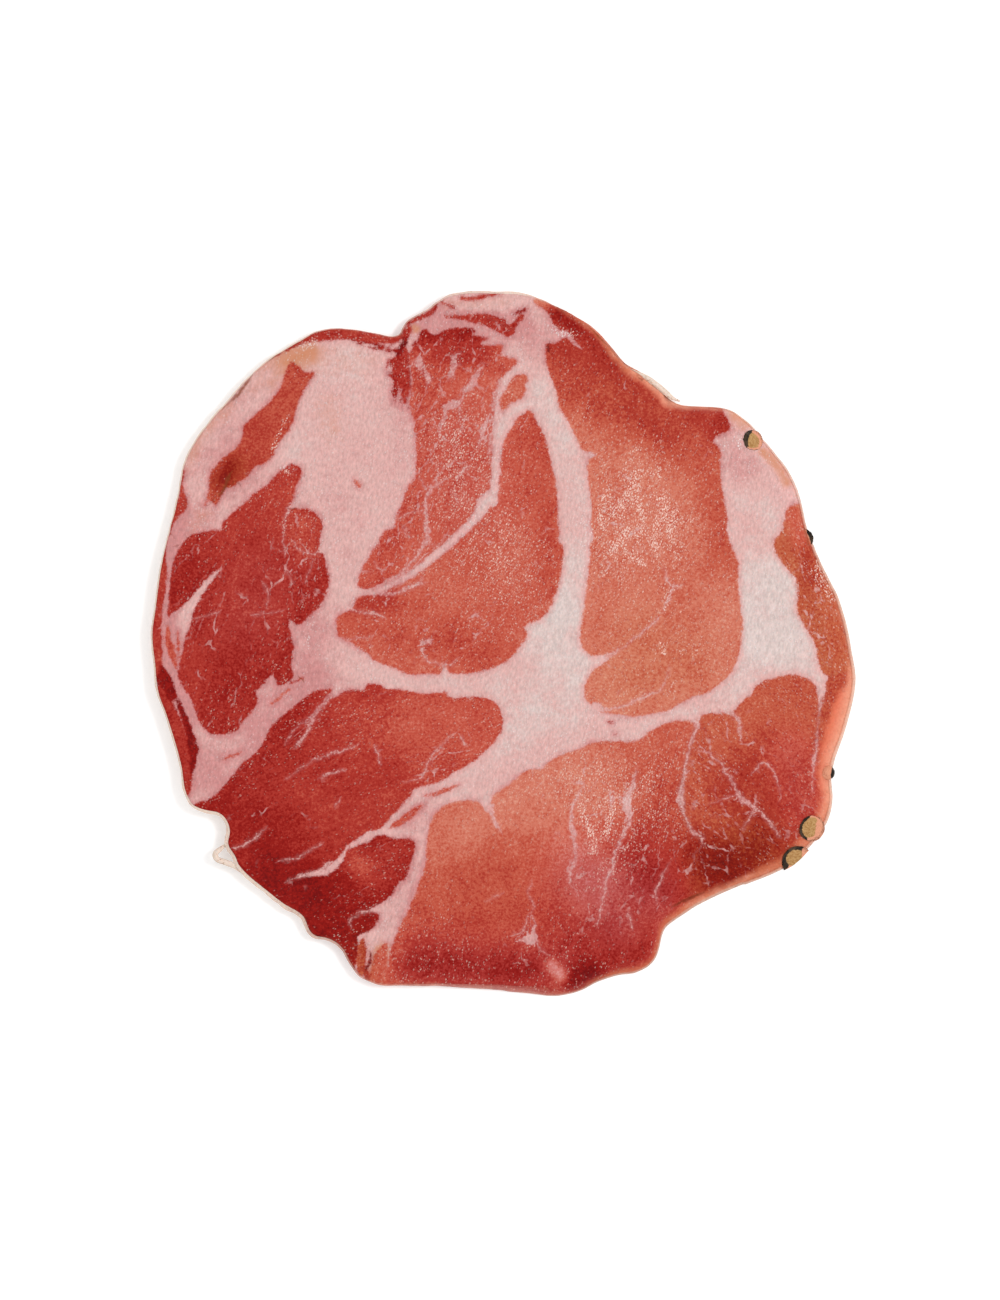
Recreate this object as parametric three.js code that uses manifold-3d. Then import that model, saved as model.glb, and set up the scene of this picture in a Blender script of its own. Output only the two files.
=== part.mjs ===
// A slice of coppa, dry-cured pork neck, lying flat with its marbled cut face up.
// Millimetres. +Z is up; +X and +Y point right and up as the slice is seen from above.
import * as THREE from "three";
import { mergeVertices } from "three/addons/utils/BufferGeometryUtils.js";
import Module from "manifold-3d";

// The slice
const THICKNESS = 2.6;
const KNIFE_SLANT = new THREE.Vector2(3.3, -0.9); // from the upper outline to the lower one
const EDGE_ROUND = 0.45; // how far in from the rim the cut face starts to drop
const EDGE_DROP = 0.3;
const WALL_BULGE = 0.2; // of the wall at half its height
const LEFT_LIFT = 1.3; // the left rim curls up off the board
const LIFT_TOWARDS = new THREE.Vector2(-0.98, -0.2);
const LIFT_BEGINS = 37; // from the middle of the slice, towards the lift
const LIFT_ENDS = 57;

// Relief of the cut face
const WAVE_HEIGHT = 0.14;
const FAT_HEIGHT = 0.2; // the fat stands proud of the dried lean
const FAT_SHOULDER = 1.2; // over which it rises

// The grid of rings that carries the form
const MEAN_RADIUS = 54;
const RIM_STEPS = 256;
const RING_GAP = 2.9;
const FACE_HALVINGS = [0.8, 0.4, 0.2]; // shares of the radius inside which a ring has half the points
const UNDERSIDE_HALVINGS = [0.9, 0.7];
const UNDERSIDE_RINGS = [0.5, 0.68, 0.78, 0.86, 0.93, 1];

// The outline seen from above, anticlockwise from the right, in named stretches.
const OUTLINE = {
  right: [
    [56.6, -5.4], [56, -1.5], [55.1, 3.2], [53.5, 8.2], [51.2, 12.8], [49.8, 16], [48.7, 18.7],
    [47.7, 23.2], [46, 27.6], [43.7, 30.6],
  ],
  upperRight: [
    [41.2, 33.5], [38.7, 36.2], [36.2, 37.8], [32.5, 38.2], [28.6, 38.4], [26.7, 39.2], [24.8, 41.5],
    [21.7, 43.9], [19.6, 44.9], [16.8, 48.1], [13, 51.5], [8.4, 54.2],
  ],
  top: [
    [3.4, 56.2], [-1, 56.5], [-5, 56.6], [-9, 56], [-12.4, 53.7], [-15.3, 52.1], [-16.4, 50.6],
    [-16.9, 49.3], [-18.2, 49.5], [-22, 50.2], [-26.3, 50.7], [-29.8, 50.3],
  ],
  upperLeft: [
    [-33.2, 48.5], [-36.8, 46.4], [-40.2, 43.8], [-43.3, 40.3], [-46.7, 36.5], [-49.3, 33.1],
    [-51.3, 29.2],
  ],
  left: [
    [-52, 25.5], [-52.8, 21.8], [-53.9, 17.6], [-55.1, 12.5], [-56, 6], [-56.6, 1.2], [-56.1, -3],
    [-55.7, -7.4], [-54.4, -11], [-52.8, -16], [-51.8, -20], [-51.2, -23.8],
  ],
  lowerLeft: [
    [-49.9, -26], [-47.4, -26.8], [-45.4, -27.2], [-44.2, -29.2], [-44, -31], [-44.2, -32.6],
    [-43.2, -34], [-42.3, -36], [-38.4, -39.4], [-35.2, -41.9], [-32.3, -43.6], [-31.5, -45.4],
    [-31, -46.9], [-28.3, -47.2], [-26.1, -48.6], [-24.9, -50.7], [-23.2, -53.2],
  ],
  bottom: [
    [-20.6, -54.4], [-14, -54.5], [-6, -55.2], [0, -55.7], [5, -56.2], [8.4, -56.6], [12.4, -55.8],
    [15.4, -54.2],
  ],
  lowerRight: [
    [18.4, -53.2], [21.6, -52.8], [24.2, -51.1], [25.2, -48.4], [25.8, -46], [27.6, -44.5],
    [30.6, -42.4], [35, -40.2], [39.6, -38.3], [43, -37], [46.1, -35.3], [48.9, -32.7], [50.9, -30.5],
    [52.4, -27.4], [52.9, -24.4], [52.6, -21.6], [53.3, -18.2], [54.5, -15], [55.4, -12], [56.2, -8.8],
  ],
};

// The broad fat between the muscles, as strokes of [x, y, half width].
const FAT = {
  upperLeft: [
    [-24, 45, 5], [-24.5, 35, 9], [-24.3, 25, 7.5], [-24, 17, 4.5], [-26, 10, 2.2], [-29.5, 1, 3.4],
    [-27, -4, 2.6],
  ],
  upperLeftRim: [
    [-38, 42, 1.6], [-43, 37, 2.8], [-48, 30, 2.6], [-48.5, 22, 1.8], [-42, 25, 1.7], [-36, 30.5, 1.6],
  ],
  lowerLeft: [[-27, -4, 2.4], [-35.5, -8.5, 1.8], [-42, -15.8, 2.2], [-47.5, -21.5, 2.6]],
  stem: [[5.2, 46, 1.6], [5.8, 39, 2], [10, 32, 2.2], [11.2, 22, 2.3], [10.8, 12, 1.8], [8.4, 4, 3.2]],
  middle: [
    [-27, -4, 2], [-14, -5.8, 1.4], [-3, -6, 1.8], [6, -8, 5.4], [2, -14.5, 3.4], [-4, -21.4, 2.6],
    [-14, -26.5, 2],
  ],
  right: [
    [37.3, 35, 1.6], [38.8, 30, 3.6], [40.8, 20, 4.3], [41.6, 11, 4], [43.4, 1, 5.4], [38, -6.5, 2.4],
    [30, -10.5, 1.4], [20, -13.2, 1.9], [9, -11, 3],
  ],
  bottom: [[-14, -26.5, 1.6], [-13.2, -33, 1.2], [-16.5, -41, 1.8], [-19.6, -48, 1.6]],
};

// Peppercorns left in the rim. The first three are cut through near their widest by the upper
// cut, and the last two are stuck low in the slanting wall.
const PEPPERCORNS = [
  { at: [49.3, -29.4, 2.2], radius: 2.1 },
  { at: [47.1, -34.8, 2.2], radius: 2.6 },
  { at: [39.7, 33.4, 2.2], radius: 1.5 },
  { at: [48.8, 17, 0.9], radius: 1.2 },
  { at: [52, -20.4, 0.9], radius: 1.2 },
];
const PEPPERCORN_PROUD = 0.12;

// Strips of casing that stand away from the rim: a lifted tip and a small open loop.
const CASING_STRIPS = [
  { height: 1.7, points: [[23.8, 41.7], [26, 40.5], [27.8, 39.4]] },
  {
    height: 1.5,
    points: [[-44, -31.4], [-45.3, -32.5], [-45.6, -33.8], [-44.8, -34.8], [-43.2, -35.2], [-42, -35.5]],
  },
];
const CASING_WIDTH = 0.6;

// Cracks and creases in the cut face, and the pit at the end of the upper left muscle.
const CREASES = [
  { width: 0.7, depth: 1, points: [[-45, 37.4], [-42.3, 39.8], [-39.3, 44]] },
  { width: 0.9, depth: 1.2, points: [[-16.7, 51], [-16.2, 48], [-17, 45]] },
  { width: 0.5, depth: 0.5, points: [[-38.4, 44.8], [-36.5, 46], [-34.5, 47]] },
];
const PIT = { at: [-43.8, 25.6], half: [0.8, 2.1, 0.9], turn: -0.6 };

// The rays from the middle of the slice to its rim, each with the reach of both its outlines.
function rimRays() {
  const points = Object.values(OUTLINE).flat().map(([x, y]) => new THREE.Vector3(x, y, 0));
  const curve = new THREE.CatmullRomCurve3(points, true, "centripetal");
  curve.arcLengthDivisions = 12 * points.length;
  return curve.getSpacedPoints(RIM_STEPS).slice(0, RIM_STEPS).map((rim) => {
    const reach = rim.length();
    const out = new THREE.Vector2(rim.x, rim.y).divideScalar(reach);
    const slant = KNIFE_SLANT.dot(out);
    return { out, upper: reach - Math.max(0, slant), lower: reach + Math.min(0, slant) };
  });
}

function distanceToStroke(x, y, stroke) {
  let nearest = Infinity;
  for (let i = 1; i < stroke.length; i++) {
    const [ax, ay, aw] = stroke[i - 1];
    const [bx, by, bw] = stroke[i];
    const along = ((x - ax) * (bx - ax) + (y - ay) * (by - ay)) / ((bx - ax) ** 2 + (by - ay) ** 2);
    const t = THREE.MathUtils.clamp(along, 0, 1);
    const gap = Math.hypot(x - ax - t * (bx - ax), y - ay - t * (by - ay));
    nearest = Math.min(nearest, gap - THREE.MathUtils.lerp(aw, bw, t));
  }
  return nearest;
}

function underside(x, y) {
  const towards = LIFT_TOWARDS.x * x + LIFT_TOWARDS.y * y;
  return LEFT_LIFT * THREE.MathUtils.smoothstep(towards, LIFT_BEGINS, LIFT_ENDS);
}

function cutFace(x, y) {
  const toFat = Math.min(...Object.values(FAT).map((stroke) => distanceToStroke(x, y, stroke)));
  const fat = FAT_HEIGHT * (1 - THREE.MathUtils.smoothstep(toFat, -FAT_SHOULDER, FAT_SHOULDER));
  const wave = WAVE_HEIGHT * (Math.sin(x / 9 + 0.4 * Math.sin(y / 11)) + Math.sin(y / 13 - x / 31));
  return underside(x, y) + THICKNESS + fat + wave;
}

// Rings of points from the middle of the underside, out, up the wall and back in over the cut face.
function sliceRings(rays) {
  const rings = [];
  const addRing = (count, radius, height) => {
    const chosen = rays.filter((_, i) => i % (RIM_STEPS / count) === 0);
    rings.push(chosen.map((ray) => {
      const { x, y } = ray.out.clone().multiplyScalar(radius(ray));
      return new THREE.Vector3(x, y, height(x, y, ray));
    }));
  };
  const halvings = (share, limits) => RIM_STEPS / 2 ** limits.filter((limit) => share < limit).length;

  for (const share of UNDERSIDE_RINGS)
    addRing(halvings(share, UNDERSIDE_HALVINGS), (ray) => share * ray.lower, underside);

  const middle = (ray) => (ray.upper + ray.lower) / 2 + WALL_BULGE;
  addRing(RIM_STEPS, middle, (x, y) => (underside(x, y) + cutFace(x, y)) / 2);
  addRing(RIM_STEPS, (ray) => ray.upper, (x, y) => cutFace(x, y) - EDGE_DROP);

  addRing(RIM_STEPS, (ray) => ray.upper - EDGE_ROUND, cutFace);
  const gap = RING_GAP / MEAN_RADIUS;
  for (let share = 1 - gap; share > gap / 2; share -= gap)
    addRing(halvings(share, FACE_HALVINGS), (ray) => share * ray.upper, cutFace);
  return rings;
}

// The closed skin over the rings; a ring has as many points as the next, twice as many, or half.
function skin(rings, base, crown) {
  const positions = [base, ...rings.flat(), crown].flatMap((p) => p.toArray());
  const faces = [];
  let start = 1;
  const point = (ring, i) => ring.start + ((i + ring.count) % ring.count);
  const loops = rings.map((ring) => {
    const loop = { start, count: ring.length };
    start += ring.length;
    return loop;
  });
  const first = loops[0];
  const last = loops[loops.length - 1];
  for (let i = 0; i < first.count; i++) faces.push(0, point(first, i + 1), point(first, i));
  for (let k = 1; k < loops.length; k++) {
    const [from, to] = [loops[k - 1], loops[k]];
    const fromStep = Math.max(1, from.count / to.count);
    const toStep = Math.max(1, to.count / from.count);
    for (let i = 0; i < Math.min(from.count, to.count); i++) {
      const [a, b] = [point(from, i * fromStep), point(from, (i + 1) * fromStep)];
      const [c, d] = [point(to, i * toStep), point(to, (i + 1) * toStep)];
      if (fromStep === 2) {
        const mid = point(from, 2 * i + 1);
        faces.push(a, mid, c, mid, d, c, mid, b, d);
      } else if (toStep === 2) {
        const mid = point(to, 2 * i + 1);
        faces.push(a, mid, c, a, b, mid, b, d, mid);
      } else {
        faces.push(a, b, d, a, d, c);
      }
    }
  }
  for (let i = 0; i < last.count; i++) faces.push(point(last, i), point(last, i + 1), start);
  return new THREE.BufferGeometry()
    .setAttribute("position", new THREE.Float32BufferAttribute(positions, 3))
    .setIndex(faces);
}

const wasm = await Module();
wasm.setup();

function solidFrom(geometry) {
  const bare = geometry.clone();
  for (const name of ["normal", "uv"]) bare.deleteAttribute(name);
  const merged = mergeVertices(bare, 1e-4);
  return new wasm.Manifold(new wasm.Mesh({
    numProp: 3,
    vertProperties: new Float32Array(merged.attributes.position.array),
    triVerts: new Uint32Array(merged.index.array),
  }));
}

function geometryFrom(solid) {
  const { vertProperties, triVerts } = solid.getMesh();
  return new THREE.BufferGeometry()
    .setAttribute("position", new THREE.BufferAttribute(vertProperties, 3))
    .setIndex(new THREE.BufferAttribute(triVerts, 1));
}

function sliceBody(rays) {
  const centre = (height) => new THREE.Vector3(0, 0, height);
  return solidFrom(skin(sliceRings(rays), centre(underside(0, 0)), centre(cutFace(0, 0))));
}

// What is inside the outline and between the two cuts, which is all that the knife left of a peppercorn.
function footprint(rays) {
  const reach = (ray) => Math.max(ray.upper, ray.lower) + PEPPERCORN_PROUD;
  const edge = rays.map((ray) => ray.out.clone().multiplyScalar(reach(ray)));
  return solidFrom(new THREE.ExtrudeGeometry(new THREE.Shape(edge), {
    depth: THICKNESS + PEPPERCORN_PROUD,
    bevelEnabled: false,
  }));
}

function peppercorn({ at, radius }, keep) {
  return solidFrom(new THREE.SphereGeometry(radius, 14, 8).translate(...at)).intersect(keep);
}

function alongTheFace(points, section, height) {
  const onFace = points.map(([x, y]) => new THREE.Vector3(x, y, cutFace(x, y) + height));
  const extrudePath = new THREE.CatmullRomCurve3(onFace);
  return solidFrom(new THREE.ExtrudeGeometry(section, { steps: 4 * points.length, extrudePath }));
}

// A path that lies flat turns a section's own X straight down.
function casingStrip({ points, height }) {
  const section = new THREE.Shape([
    new THREE.Vector2(-height / 2, -CASING_WIDTH / 2),
    new THREE.Vector2(height / 2, -CASING_WIDTH / 2),
    new THREE.Vector2(height / 2, CASING_WIDTH / 2),
    new THREE.Vector2(-height / 2, CASING_WIDTH / 2),
  ]);
  return alongTheFace(points, section, -height / 2 - EDGE_DROP);
}

function crease({ points, width, depth }) {
  const section = new THREE.Shape([
    new THREE.Vector2(depth, 0),
    new THREE.Vector2(-depth, width),
    new THREE.Vector2(-depth, -width),
  ]);
  return alongTheFace(points, section, 0);
}

function pit({ at: [x, y], half, turn }) {
  return solidFrom(new THREE.SphereGeometry(1, 16, 10)
    .scale(...half)
    .rotateZ(turn)
    .translate(x, y, cutFace(x, y)));
}

function coppaSlice() {
  const rays = rimRays();
  const keep = footprint(rays);
  let solid = sliceBody(rays);
  for (const corn of PEPPERCORNS) solid = solid.add(peppercorn(corn, keep));
  for (const strip of CASING_STRIPS) solid = solid.add(casingStrip(strip));
  for (const cut of CREASES) solid = solid.subtract(crease(cut));
  solid = solid.subtract(pit(PIT));
  const mesh = new THREE.Mesh(
    geometryFrom(solid),
    new THREE.MeshStandardMaterial({ color: 0xb5523f, roughness: 0.45, metalness: 0 }),
  );
  mesh.name = "coppa_slice";
  return mesh;
}

const coppa = new THREE.Group();
coppa.add(coppaSlice());

export default coppa;
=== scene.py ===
"""A slice of coppa: the marbled cut face, the casing round its rim and the peppercorns set in it.

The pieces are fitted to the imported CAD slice. Outlines and strokes are texts of points in
millimetres, x,y or x,y,half width, seen from above, with +X to the right and +Y up; objects are
in metres."""

import math

import bmesh
import bpy
import numpy as np
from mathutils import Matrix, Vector, noise
from mathutils.bvhtree import BVHTree


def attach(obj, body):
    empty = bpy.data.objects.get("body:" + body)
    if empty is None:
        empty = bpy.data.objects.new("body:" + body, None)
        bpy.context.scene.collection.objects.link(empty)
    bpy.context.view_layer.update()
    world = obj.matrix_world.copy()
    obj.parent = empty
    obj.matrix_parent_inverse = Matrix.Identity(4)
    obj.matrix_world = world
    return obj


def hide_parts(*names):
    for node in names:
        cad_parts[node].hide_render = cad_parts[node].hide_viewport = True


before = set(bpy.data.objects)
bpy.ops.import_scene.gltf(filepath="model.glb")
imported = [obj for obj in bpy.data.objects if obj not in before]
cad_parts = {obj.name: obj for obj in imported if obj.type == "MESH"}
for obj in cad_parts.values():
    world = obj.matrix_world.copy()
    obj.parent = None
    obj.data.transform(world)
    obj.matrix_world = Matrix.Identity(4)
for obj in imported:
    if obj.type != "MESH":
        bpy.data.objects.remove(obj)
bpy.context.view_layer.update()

bl_info = {
    "name": "Coppa Slice",
    "version": (1, 0, 0),
    "blender": (4, 5, 0),
    "location": "3D View > Sidebar > Coppa",
    "description": "Dresses a slice of coppa with marbling, casing and peppercorns",
    "category": "Add Mesh",
}

MM = 0.001

# The cut, as in the CAD source
THICKNESS = 2.6
KNIFE_SLANT = (3.3, -0.9)  # from the upper outline to the lower one
LEFT_LIFT = 1.3
LIFT_TOWARDS = (-0.98, -0.2)
LIFT_BEGINS = 37
LIFT_ENDS = 57
WAVE_HEIGHT = 0.14

# The grids that carry the cut face and the underside
FACE_CELLS = 268
UNDERSIDE_CELLS = FACE_CELLS // 2
FACE_INSET = 0.42  # of the grid's edge from the upper outline
UNDERSIDE_INSET = 0.8  # of the underside's grid from the lower outline
# The wall from the face down: share of the height, share of the slant, millimetres outwards
WALL_STEPS = [
    (0.02, 0.0, -0.18),
    (0.08, 0.03, -0.02),
    (0.25, 0.24, 0.12),
    (0.5, 0.5, 0.2),
    (0.76, 0.77, 0.14),
    (0.94, 0.98, -0.03),
    (1.0, 1.0, -0.25),
]
# The casing covers the wall from its first step here. Where the wall shows wider from above than so
# many millimetres, it covers only the foot.
FIRST_CASING_STEP = 2
FOOT_STEP = 5
BARE_WALL_FROM = 0.6

FAR = 3.0  # no stroke or outline matters further away than this
BLOCK = 4000  # points that are compared with a path at a time
TINY = 1e-9  # keeps a division away from zero

# The lean muscles: how deeply cured, from 0 pale to 1 wine dark, how brown, which way the fibres
# run in degrees, how much fine marbling, and the outline.
MUSCLES = {
    "upper_left_strip": (0.5, 0.1, 52, 0.0, """
        -34.2,45.1 -35,43 -35.7,41 -36.8,39.4 -38.3,38 -40,36.4 -41.5,34.9 -41.6,33.6 -42.3,31.9
        -44,30.4 -45.5,29.1 -46.6,27.7 -47,26 -47.2,24.3 -47.7,22.2 -47.1,22.9 -46.3,22.5
        -45.9,22.1 -45.3,23.2 -44.6,24.6 -43.2,25.2 -42,26 -40.5,27.3 -39.7,28.4 -38,29 -37,30
        -36.2,31.6 -35.2,33.1 -34,34.6 -33.5,36 -33,38 -32.2,40.1 -31.2,41.7 -30.1,43.4 -31.6,43.5
        -32.5,44.3 -33.4,45"""),
    "cleft_patch": (0.72, 0.0, 80, 0.1, """
        -16.3,47.2 -17.2,46 -18.4,45.4 -17.8,44.2 -18.2,42.8 -17.5,42 -17.9,40.4 -17.2,39.2
        -16.9,40.9 -16.4,41 -16.4,39.6 -15.8,38.2 -15.5,39.6 -15.1,39.2 -14.9,41.2 -15.4,42.8
        -15,44 -15.7,45.6"""),
    "middle": (0.36, 0, 68, 0.75, """
        -13.1,50.2 -12.3,50.4 -11.6,49.7 -10.8,49.6 -9.5,50.2 -8,50.6 -6.5,50.7 -5,50.6 -4.5,50
        -4.7,49.4 -3.2,49.2 -2.4,48.9 -3.4,48.4 -3.6,48 -1.8,47.9 -0.3,47.9 -0.1,47 -0.3,46.1
        0.8,45.9 1.8,45.6 2.3,45.1 1.9,44.5 1,43.8 0.2,43 -0.5,41.5 -1,40 -1.3,38.5 -1.5,36.5
        -1.6,34.5 -1.8,32 -1.9,29 -2,26.5 -2.3,24.6 -3.9,23.6 -4.4,22 -5.4,20.2 -7,18.6 -9.2,16.4
        -11.4,14.6 -13.8,12.6 -16.3,10.9 -18.4,9.8 -20.2,8.9 -21.5,8.6 -22.8,8.9 -23.3,9.4
        -23.2,10.2 -22.8,11.5 -22,13.2 -21,14.8 -20,16.4 -19.1,18 -18.3,18.4 -17.4,18.8 -17.2,20.3
        -16.4,22.1 -15.7,24 -15,25.7 -14.1,27 -14,29 -14,32 -14.2,34 -14.4,36 -15,38 -14.8,39.5
        -14.7,41 -14.6,43 -15,44.6 -15.1,46 -14.6,47.8 -13.6,49"""),
    "oval": (0.33, 0.1, 60, 0.2, """
        3.1,43.2 3.8,42.8 3.9,42.2 3.4,41.5 3.6,40.7 3.1,39.6 2.2,38.9 1.2,38.6 0.3,37.6 -0.2,37.3
        -0.5,38.2 -0.6,39.2 0.1,40.4 0.8,41.6 1.3,42.6 2.3,43.1"""),
    "lens": (0.34, 0.05, 62, 0.25, """
        3.9,37.4 4.6,37 5.3,35.6 6.2,34 6.9,32 7.4,30 7.9,28 8.4,25.5 8.6,23 8.7,20 8.9,17.4
        8.8,16.4 9.4,15.8 9.6,14.2 9.3,12 8.9,10 8.3,8 7.5,6.1 6.4,4.4 4.4,3.4 3.2,2.6 3.8,1.9
        3.7,1.2 3.2,0.5 2.3,-0.7 1.3,-2 0,-2.9 -2,-3.9 -4.5,-4.4 -6.5,-4.7 -8.5,-4.6 -9,-4
        -9.4,-3.5 -9.9,-4.2 -10.3,-4.7 -13,-4.8 -15.5,-4.7 -17,-4 -19,-3.2 -20.5,-2.6 -22,-1.3
        -23,-0.7 -24.3,0.2 -26,1 -26.6,2 -26.7,3.4 -26.2,4.8 -24.8,5.3 -24,6 -23.6,7.2 -22.5,7.8
        -20.5,8 -18.6,8.6 -17.6,9.2 -15.8,10 -13.5,11.4 -11.2,13.2 -8.6,15.2 -6,17.6 -3.8,19.8
        -2,22 -1.1,22.6 -1,24.4 -0.9,26 -0.7,28 -0.4,30 -0.1,32 0.5,33.3 1.4,34.8 2,36 3.1,36.8"""),
    "right": (0.2, 0.12, 66, 0.12, """
        6.8,47.9 6.7,46.6 6.8,45 7.4,43.2 8,41.5 8.5,40 8.9,38 10,36.2 10.9,34.4 11.8,32.6
        12.7,31.1 13.6,30.8 14.9,30.2 13.7,29.6 13.4,28 13.6,25.5 13.9,23.4 14.1,21.5 13.9,19.2
        14.1,18.2 14.4,17 13.9,16 13.8,14 13.5,11 13.2,9 12.9,6 12.6,4 12.2,1 12.6,-0.3 13.3,-1.3
        14.5,-1.8 15.8,-1.8 16.6,-2.3 15.6,-3.1 14.1,-4.4 13.2,-6 12.9,-7.5 13.2,-8.8 14.3,-9.9
        15.5,-10.7 17,-11 18.4,-11.2 21,-11.5 23,-11.2 26,-10.6 28,-9.6 30.6,-8.2 32,-8 33.5,-7
        35,-6 36,-5 36.7,-4 37.3,-2.5 37.7,-1 38,1 38.2,3 37.9,6 37.6,8 37.5,11 37.5,13 37,14.5
        36.2,16.3 35.6,18.3 35.8,20 35.5,22 35.2,23.2 34.8,26 34.6,29 34.7,30.6 34.3,31.6
        33.6,32.3 33.8,33.1 34.7,33.6 35.7,34 36.2,35 35.7,36.3 35.1,37.4 35.4,40 29,42 24,46
        19,51 14,55 8,57 5,55.2 5.4,54.2 6.8,53.2 7.6,52 8.3,50.8 9.2,50.2 10,50.1 10.5,49.7
        10.9,49.1 11.6,48.2 12.5,47.2 11.3,47.9 10.6,48.5 10,49 9.3,48.7 8.4,48.2 7.4,48.1"""),
    "right_strip": (0.42, 0.45, -65, 0.1, """
        46.9,22.4 46,22.2 45.1,21.4 44.9,20 44.4,18 43.4,16.8 43.2,15.5 43.9,14 45,12.4 46.2,11.2
        46.8,10 47,8 46.8,6.5 47,5 47.8,3.7 48.5,2.3 49.5,0.8 50,-0.5 50.2,-2 50.5,-3.5 51.2,-4.8
        54,-5.5 58,-5 57.5,0 56.5,6 54,13 51,19 49,22.6"""),
    "right_margin": (0.5, 0.35, -80, 0.0, """
        51.6,-5.6 51.1,-7.6 50.7,-9.4 50.5,-11 50.2,-14 50,-16.5 50.5,-19 50.9,-20.5 53,-23 58,-22
        60,-12 59,-3.6 54,-3.4"""),
    "right_low": (0.46, 0.25, -50, 0.35, """
        30.4,-12.5 31,-11.6 33,-11.1 35,-11 36.5,-10.8 37.6,-9.8 38.5,-8.6 39.5,-8 40,-7 41,-6.2
        42.5,-5.5 44.5,-5 46,-4.7 47.5,-5 49,-5.6 49.8,-6.6 50.2,-8 50.4,-11 50.1,-14 49.9,-16.5
        50.4,-19 54,-20 56,-22 55,-30 50,-37 44,-41 36,-44 30,-46 26,-47 28,-38 31,-33 31,-31
        29.5,-29 28.6,-26 28.5,-22.5 29.2,-19 30,-15.5"""),
    "bottom": (0.36, 0.1, 72, 0.15, """
        30.5,-12.6 28,-12.1 26,-12.6 24.5,-13.2 23,-14.2 21.8,-15.2 20.5,-15.5 18,-15.5 15,-15.5
        13.5,-16 12.2,-16.7 10,-17.3 8,-18.2 7,-19 6.2,-19.8 4.5,-19.9 3.5,-20.3 2.5,-21 1,-22.2
        -0.5,-23.2 -1.5,-24 -2.3,-25.6 -3.2,-25.8 -4,-25.2 -5.5,-24.9 -7,-25 -9,-25.5 -10.5,-26.5
        -11.5,-28 -12,-29.5 -12.3,-32 -12.4,-34.5 -12.8,-36.5 -13.8,-38.8 -14.6,-41 -15.5,-43
        -16.5,-45 -17.3,-47 -18,-48.5 -18.3,-50 -18.5,-51.5 -19,-52.8 -19.5,-57 -10,-59 5,-60
        14,-59 22,-57 27,-54 29,-48 32,-44 31.5,-36 31.5,-31.5 30,-30 29.5,-29 28.6,-26 28.5,-22.5
        29.2,-19 30,-15.5"""),
    "left": (0.62, 0, 70, 0.45, """
        -34.8,28.3 -34,28.9 -33,28.7 -32.2,28 -32.3,27 -33,25.5 -33.4,24 -33.8,22.5 -34,21.8
        -33,21.7 -32,21.8 -30.5,21.3 -29.3,20.3 -28.9,19 -29.3,17 -29.4,15 -28.7,14.2 -28.2,12
        -27.9,10 -28.3,8 -29.1,6.5 -30,5.4 -31,4.5 -32.4,3.2 -33.2,3.2 -34,4 -34.3,3.4 -34,2
        -33.8,0.8 -33.4,-0.3 -33.7,-1.5 -33.9,-3.2 -33.6,-4.5 -33.7,-5.4 -34.5,-6.1 -35.6,-6.6
        -36.3,-6.2 -36.5,-5.5 -36.9,-4.9 -37.5,-5.2 -38.2,-6.2 -39,-7 -39.6,-7.3 -39.2,-8.5
        -39.3,-9.3 -40,-10.5 -41,-11.7 -41.8,-12.8 -42.5,-13.7 -44,-14.3 -45.5,-14.4 -46.8,-14.2
        -48,-13.2 -48.8,-12 -49.3,-10.5 -49.8,-9 -50.5,-7.8 -51.5,-6.5 -52,-5 -51.8,-3.5
        -51.3,-1.5 -51,0.5 -50.3,2 -49.9,3.6 -49.5,5 -48.9,6.5 -48,8 -46.5,10.2 -45,12.2 -46.8,11
        -48.6,9.1 -49.9,7.4 -51.5,6 -52.8,5 -53.6,4.1 -53.6,6 -53.3,9 -53,12 -52.4,14 -51.4,16
        -50.3,17.3 -49,17.8 -47,18.2 -45,18.3 -45,19 -43.5,20.8 -41.5,22.5 -39.5,24.3 -37.5,25.8
        -36,27.5"""),
    "left_rim_wine": (0.86, 0, -70, 0, """
        -55.4,-2.5 -54,-3.9 -53,-5.2 -52.6,-6.8 -52,-8.5 -53,-9.2 -54,-9 -54.8,-7.5 -55.5,-5.5"""),
    "lower_left": (0.56, 0, 28, 0.2, """
        -29,-7.2 -27.6,-7.1 -27.2,-8 -26.5,-8.2 -25.5,-7.6 -24.5,-7.2 -23,-7.3 -22.2,-7.2
        -22.1,-6.6 -21.5,-6.3 -20,-6.4 -18.5,-7 -16,-7.3 -14,-7.7 -12,-7.8 -10,-7.6 -9,-7.7
        -9,-8.2 -8,-8.5 -6,-8.4 -4,-8.4 -2,-8.8 -0.8,-9.9 -0.2,-11.3 -0.1,-12.5 -0.4,-14
        -1.2,-15.3 -2.5,-16.6 -4,-18 -6,-19.4 -8,-20.6 -10,-21.8 -12.5,-22.6 -14,-23 -14.8,-24
        -15.8,-25.2 -16.8,-26.2 -18.3,-28 -19.5,-29.2 -20.5,-29.6 -22,-30 -23.5,-31.2 -25,-32.2
        -26,-33.8 -27.5,-35 -28.5,-35.9 -30,-36.1 -31.5,-36.6 -33,-37.2 -35,-44 -40,-41 -45,-37
        -47.5,-32 -47.5,-28.5 -52,-27 -51,-25.6 -49,-25.4 -47,-24.7 -45.8,-23.8 -44.5,-22.3
        -43.3,-21 -42.5,-20 -41.5,-18.7 -40,-17.7 -38.8,-16.3 -38,-14.8 -37.2,-13.2 -36,-12
        -34.5,-10.7 -33,-9.5 -31.5,-8.2 -30,-7.4"""),
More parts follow.
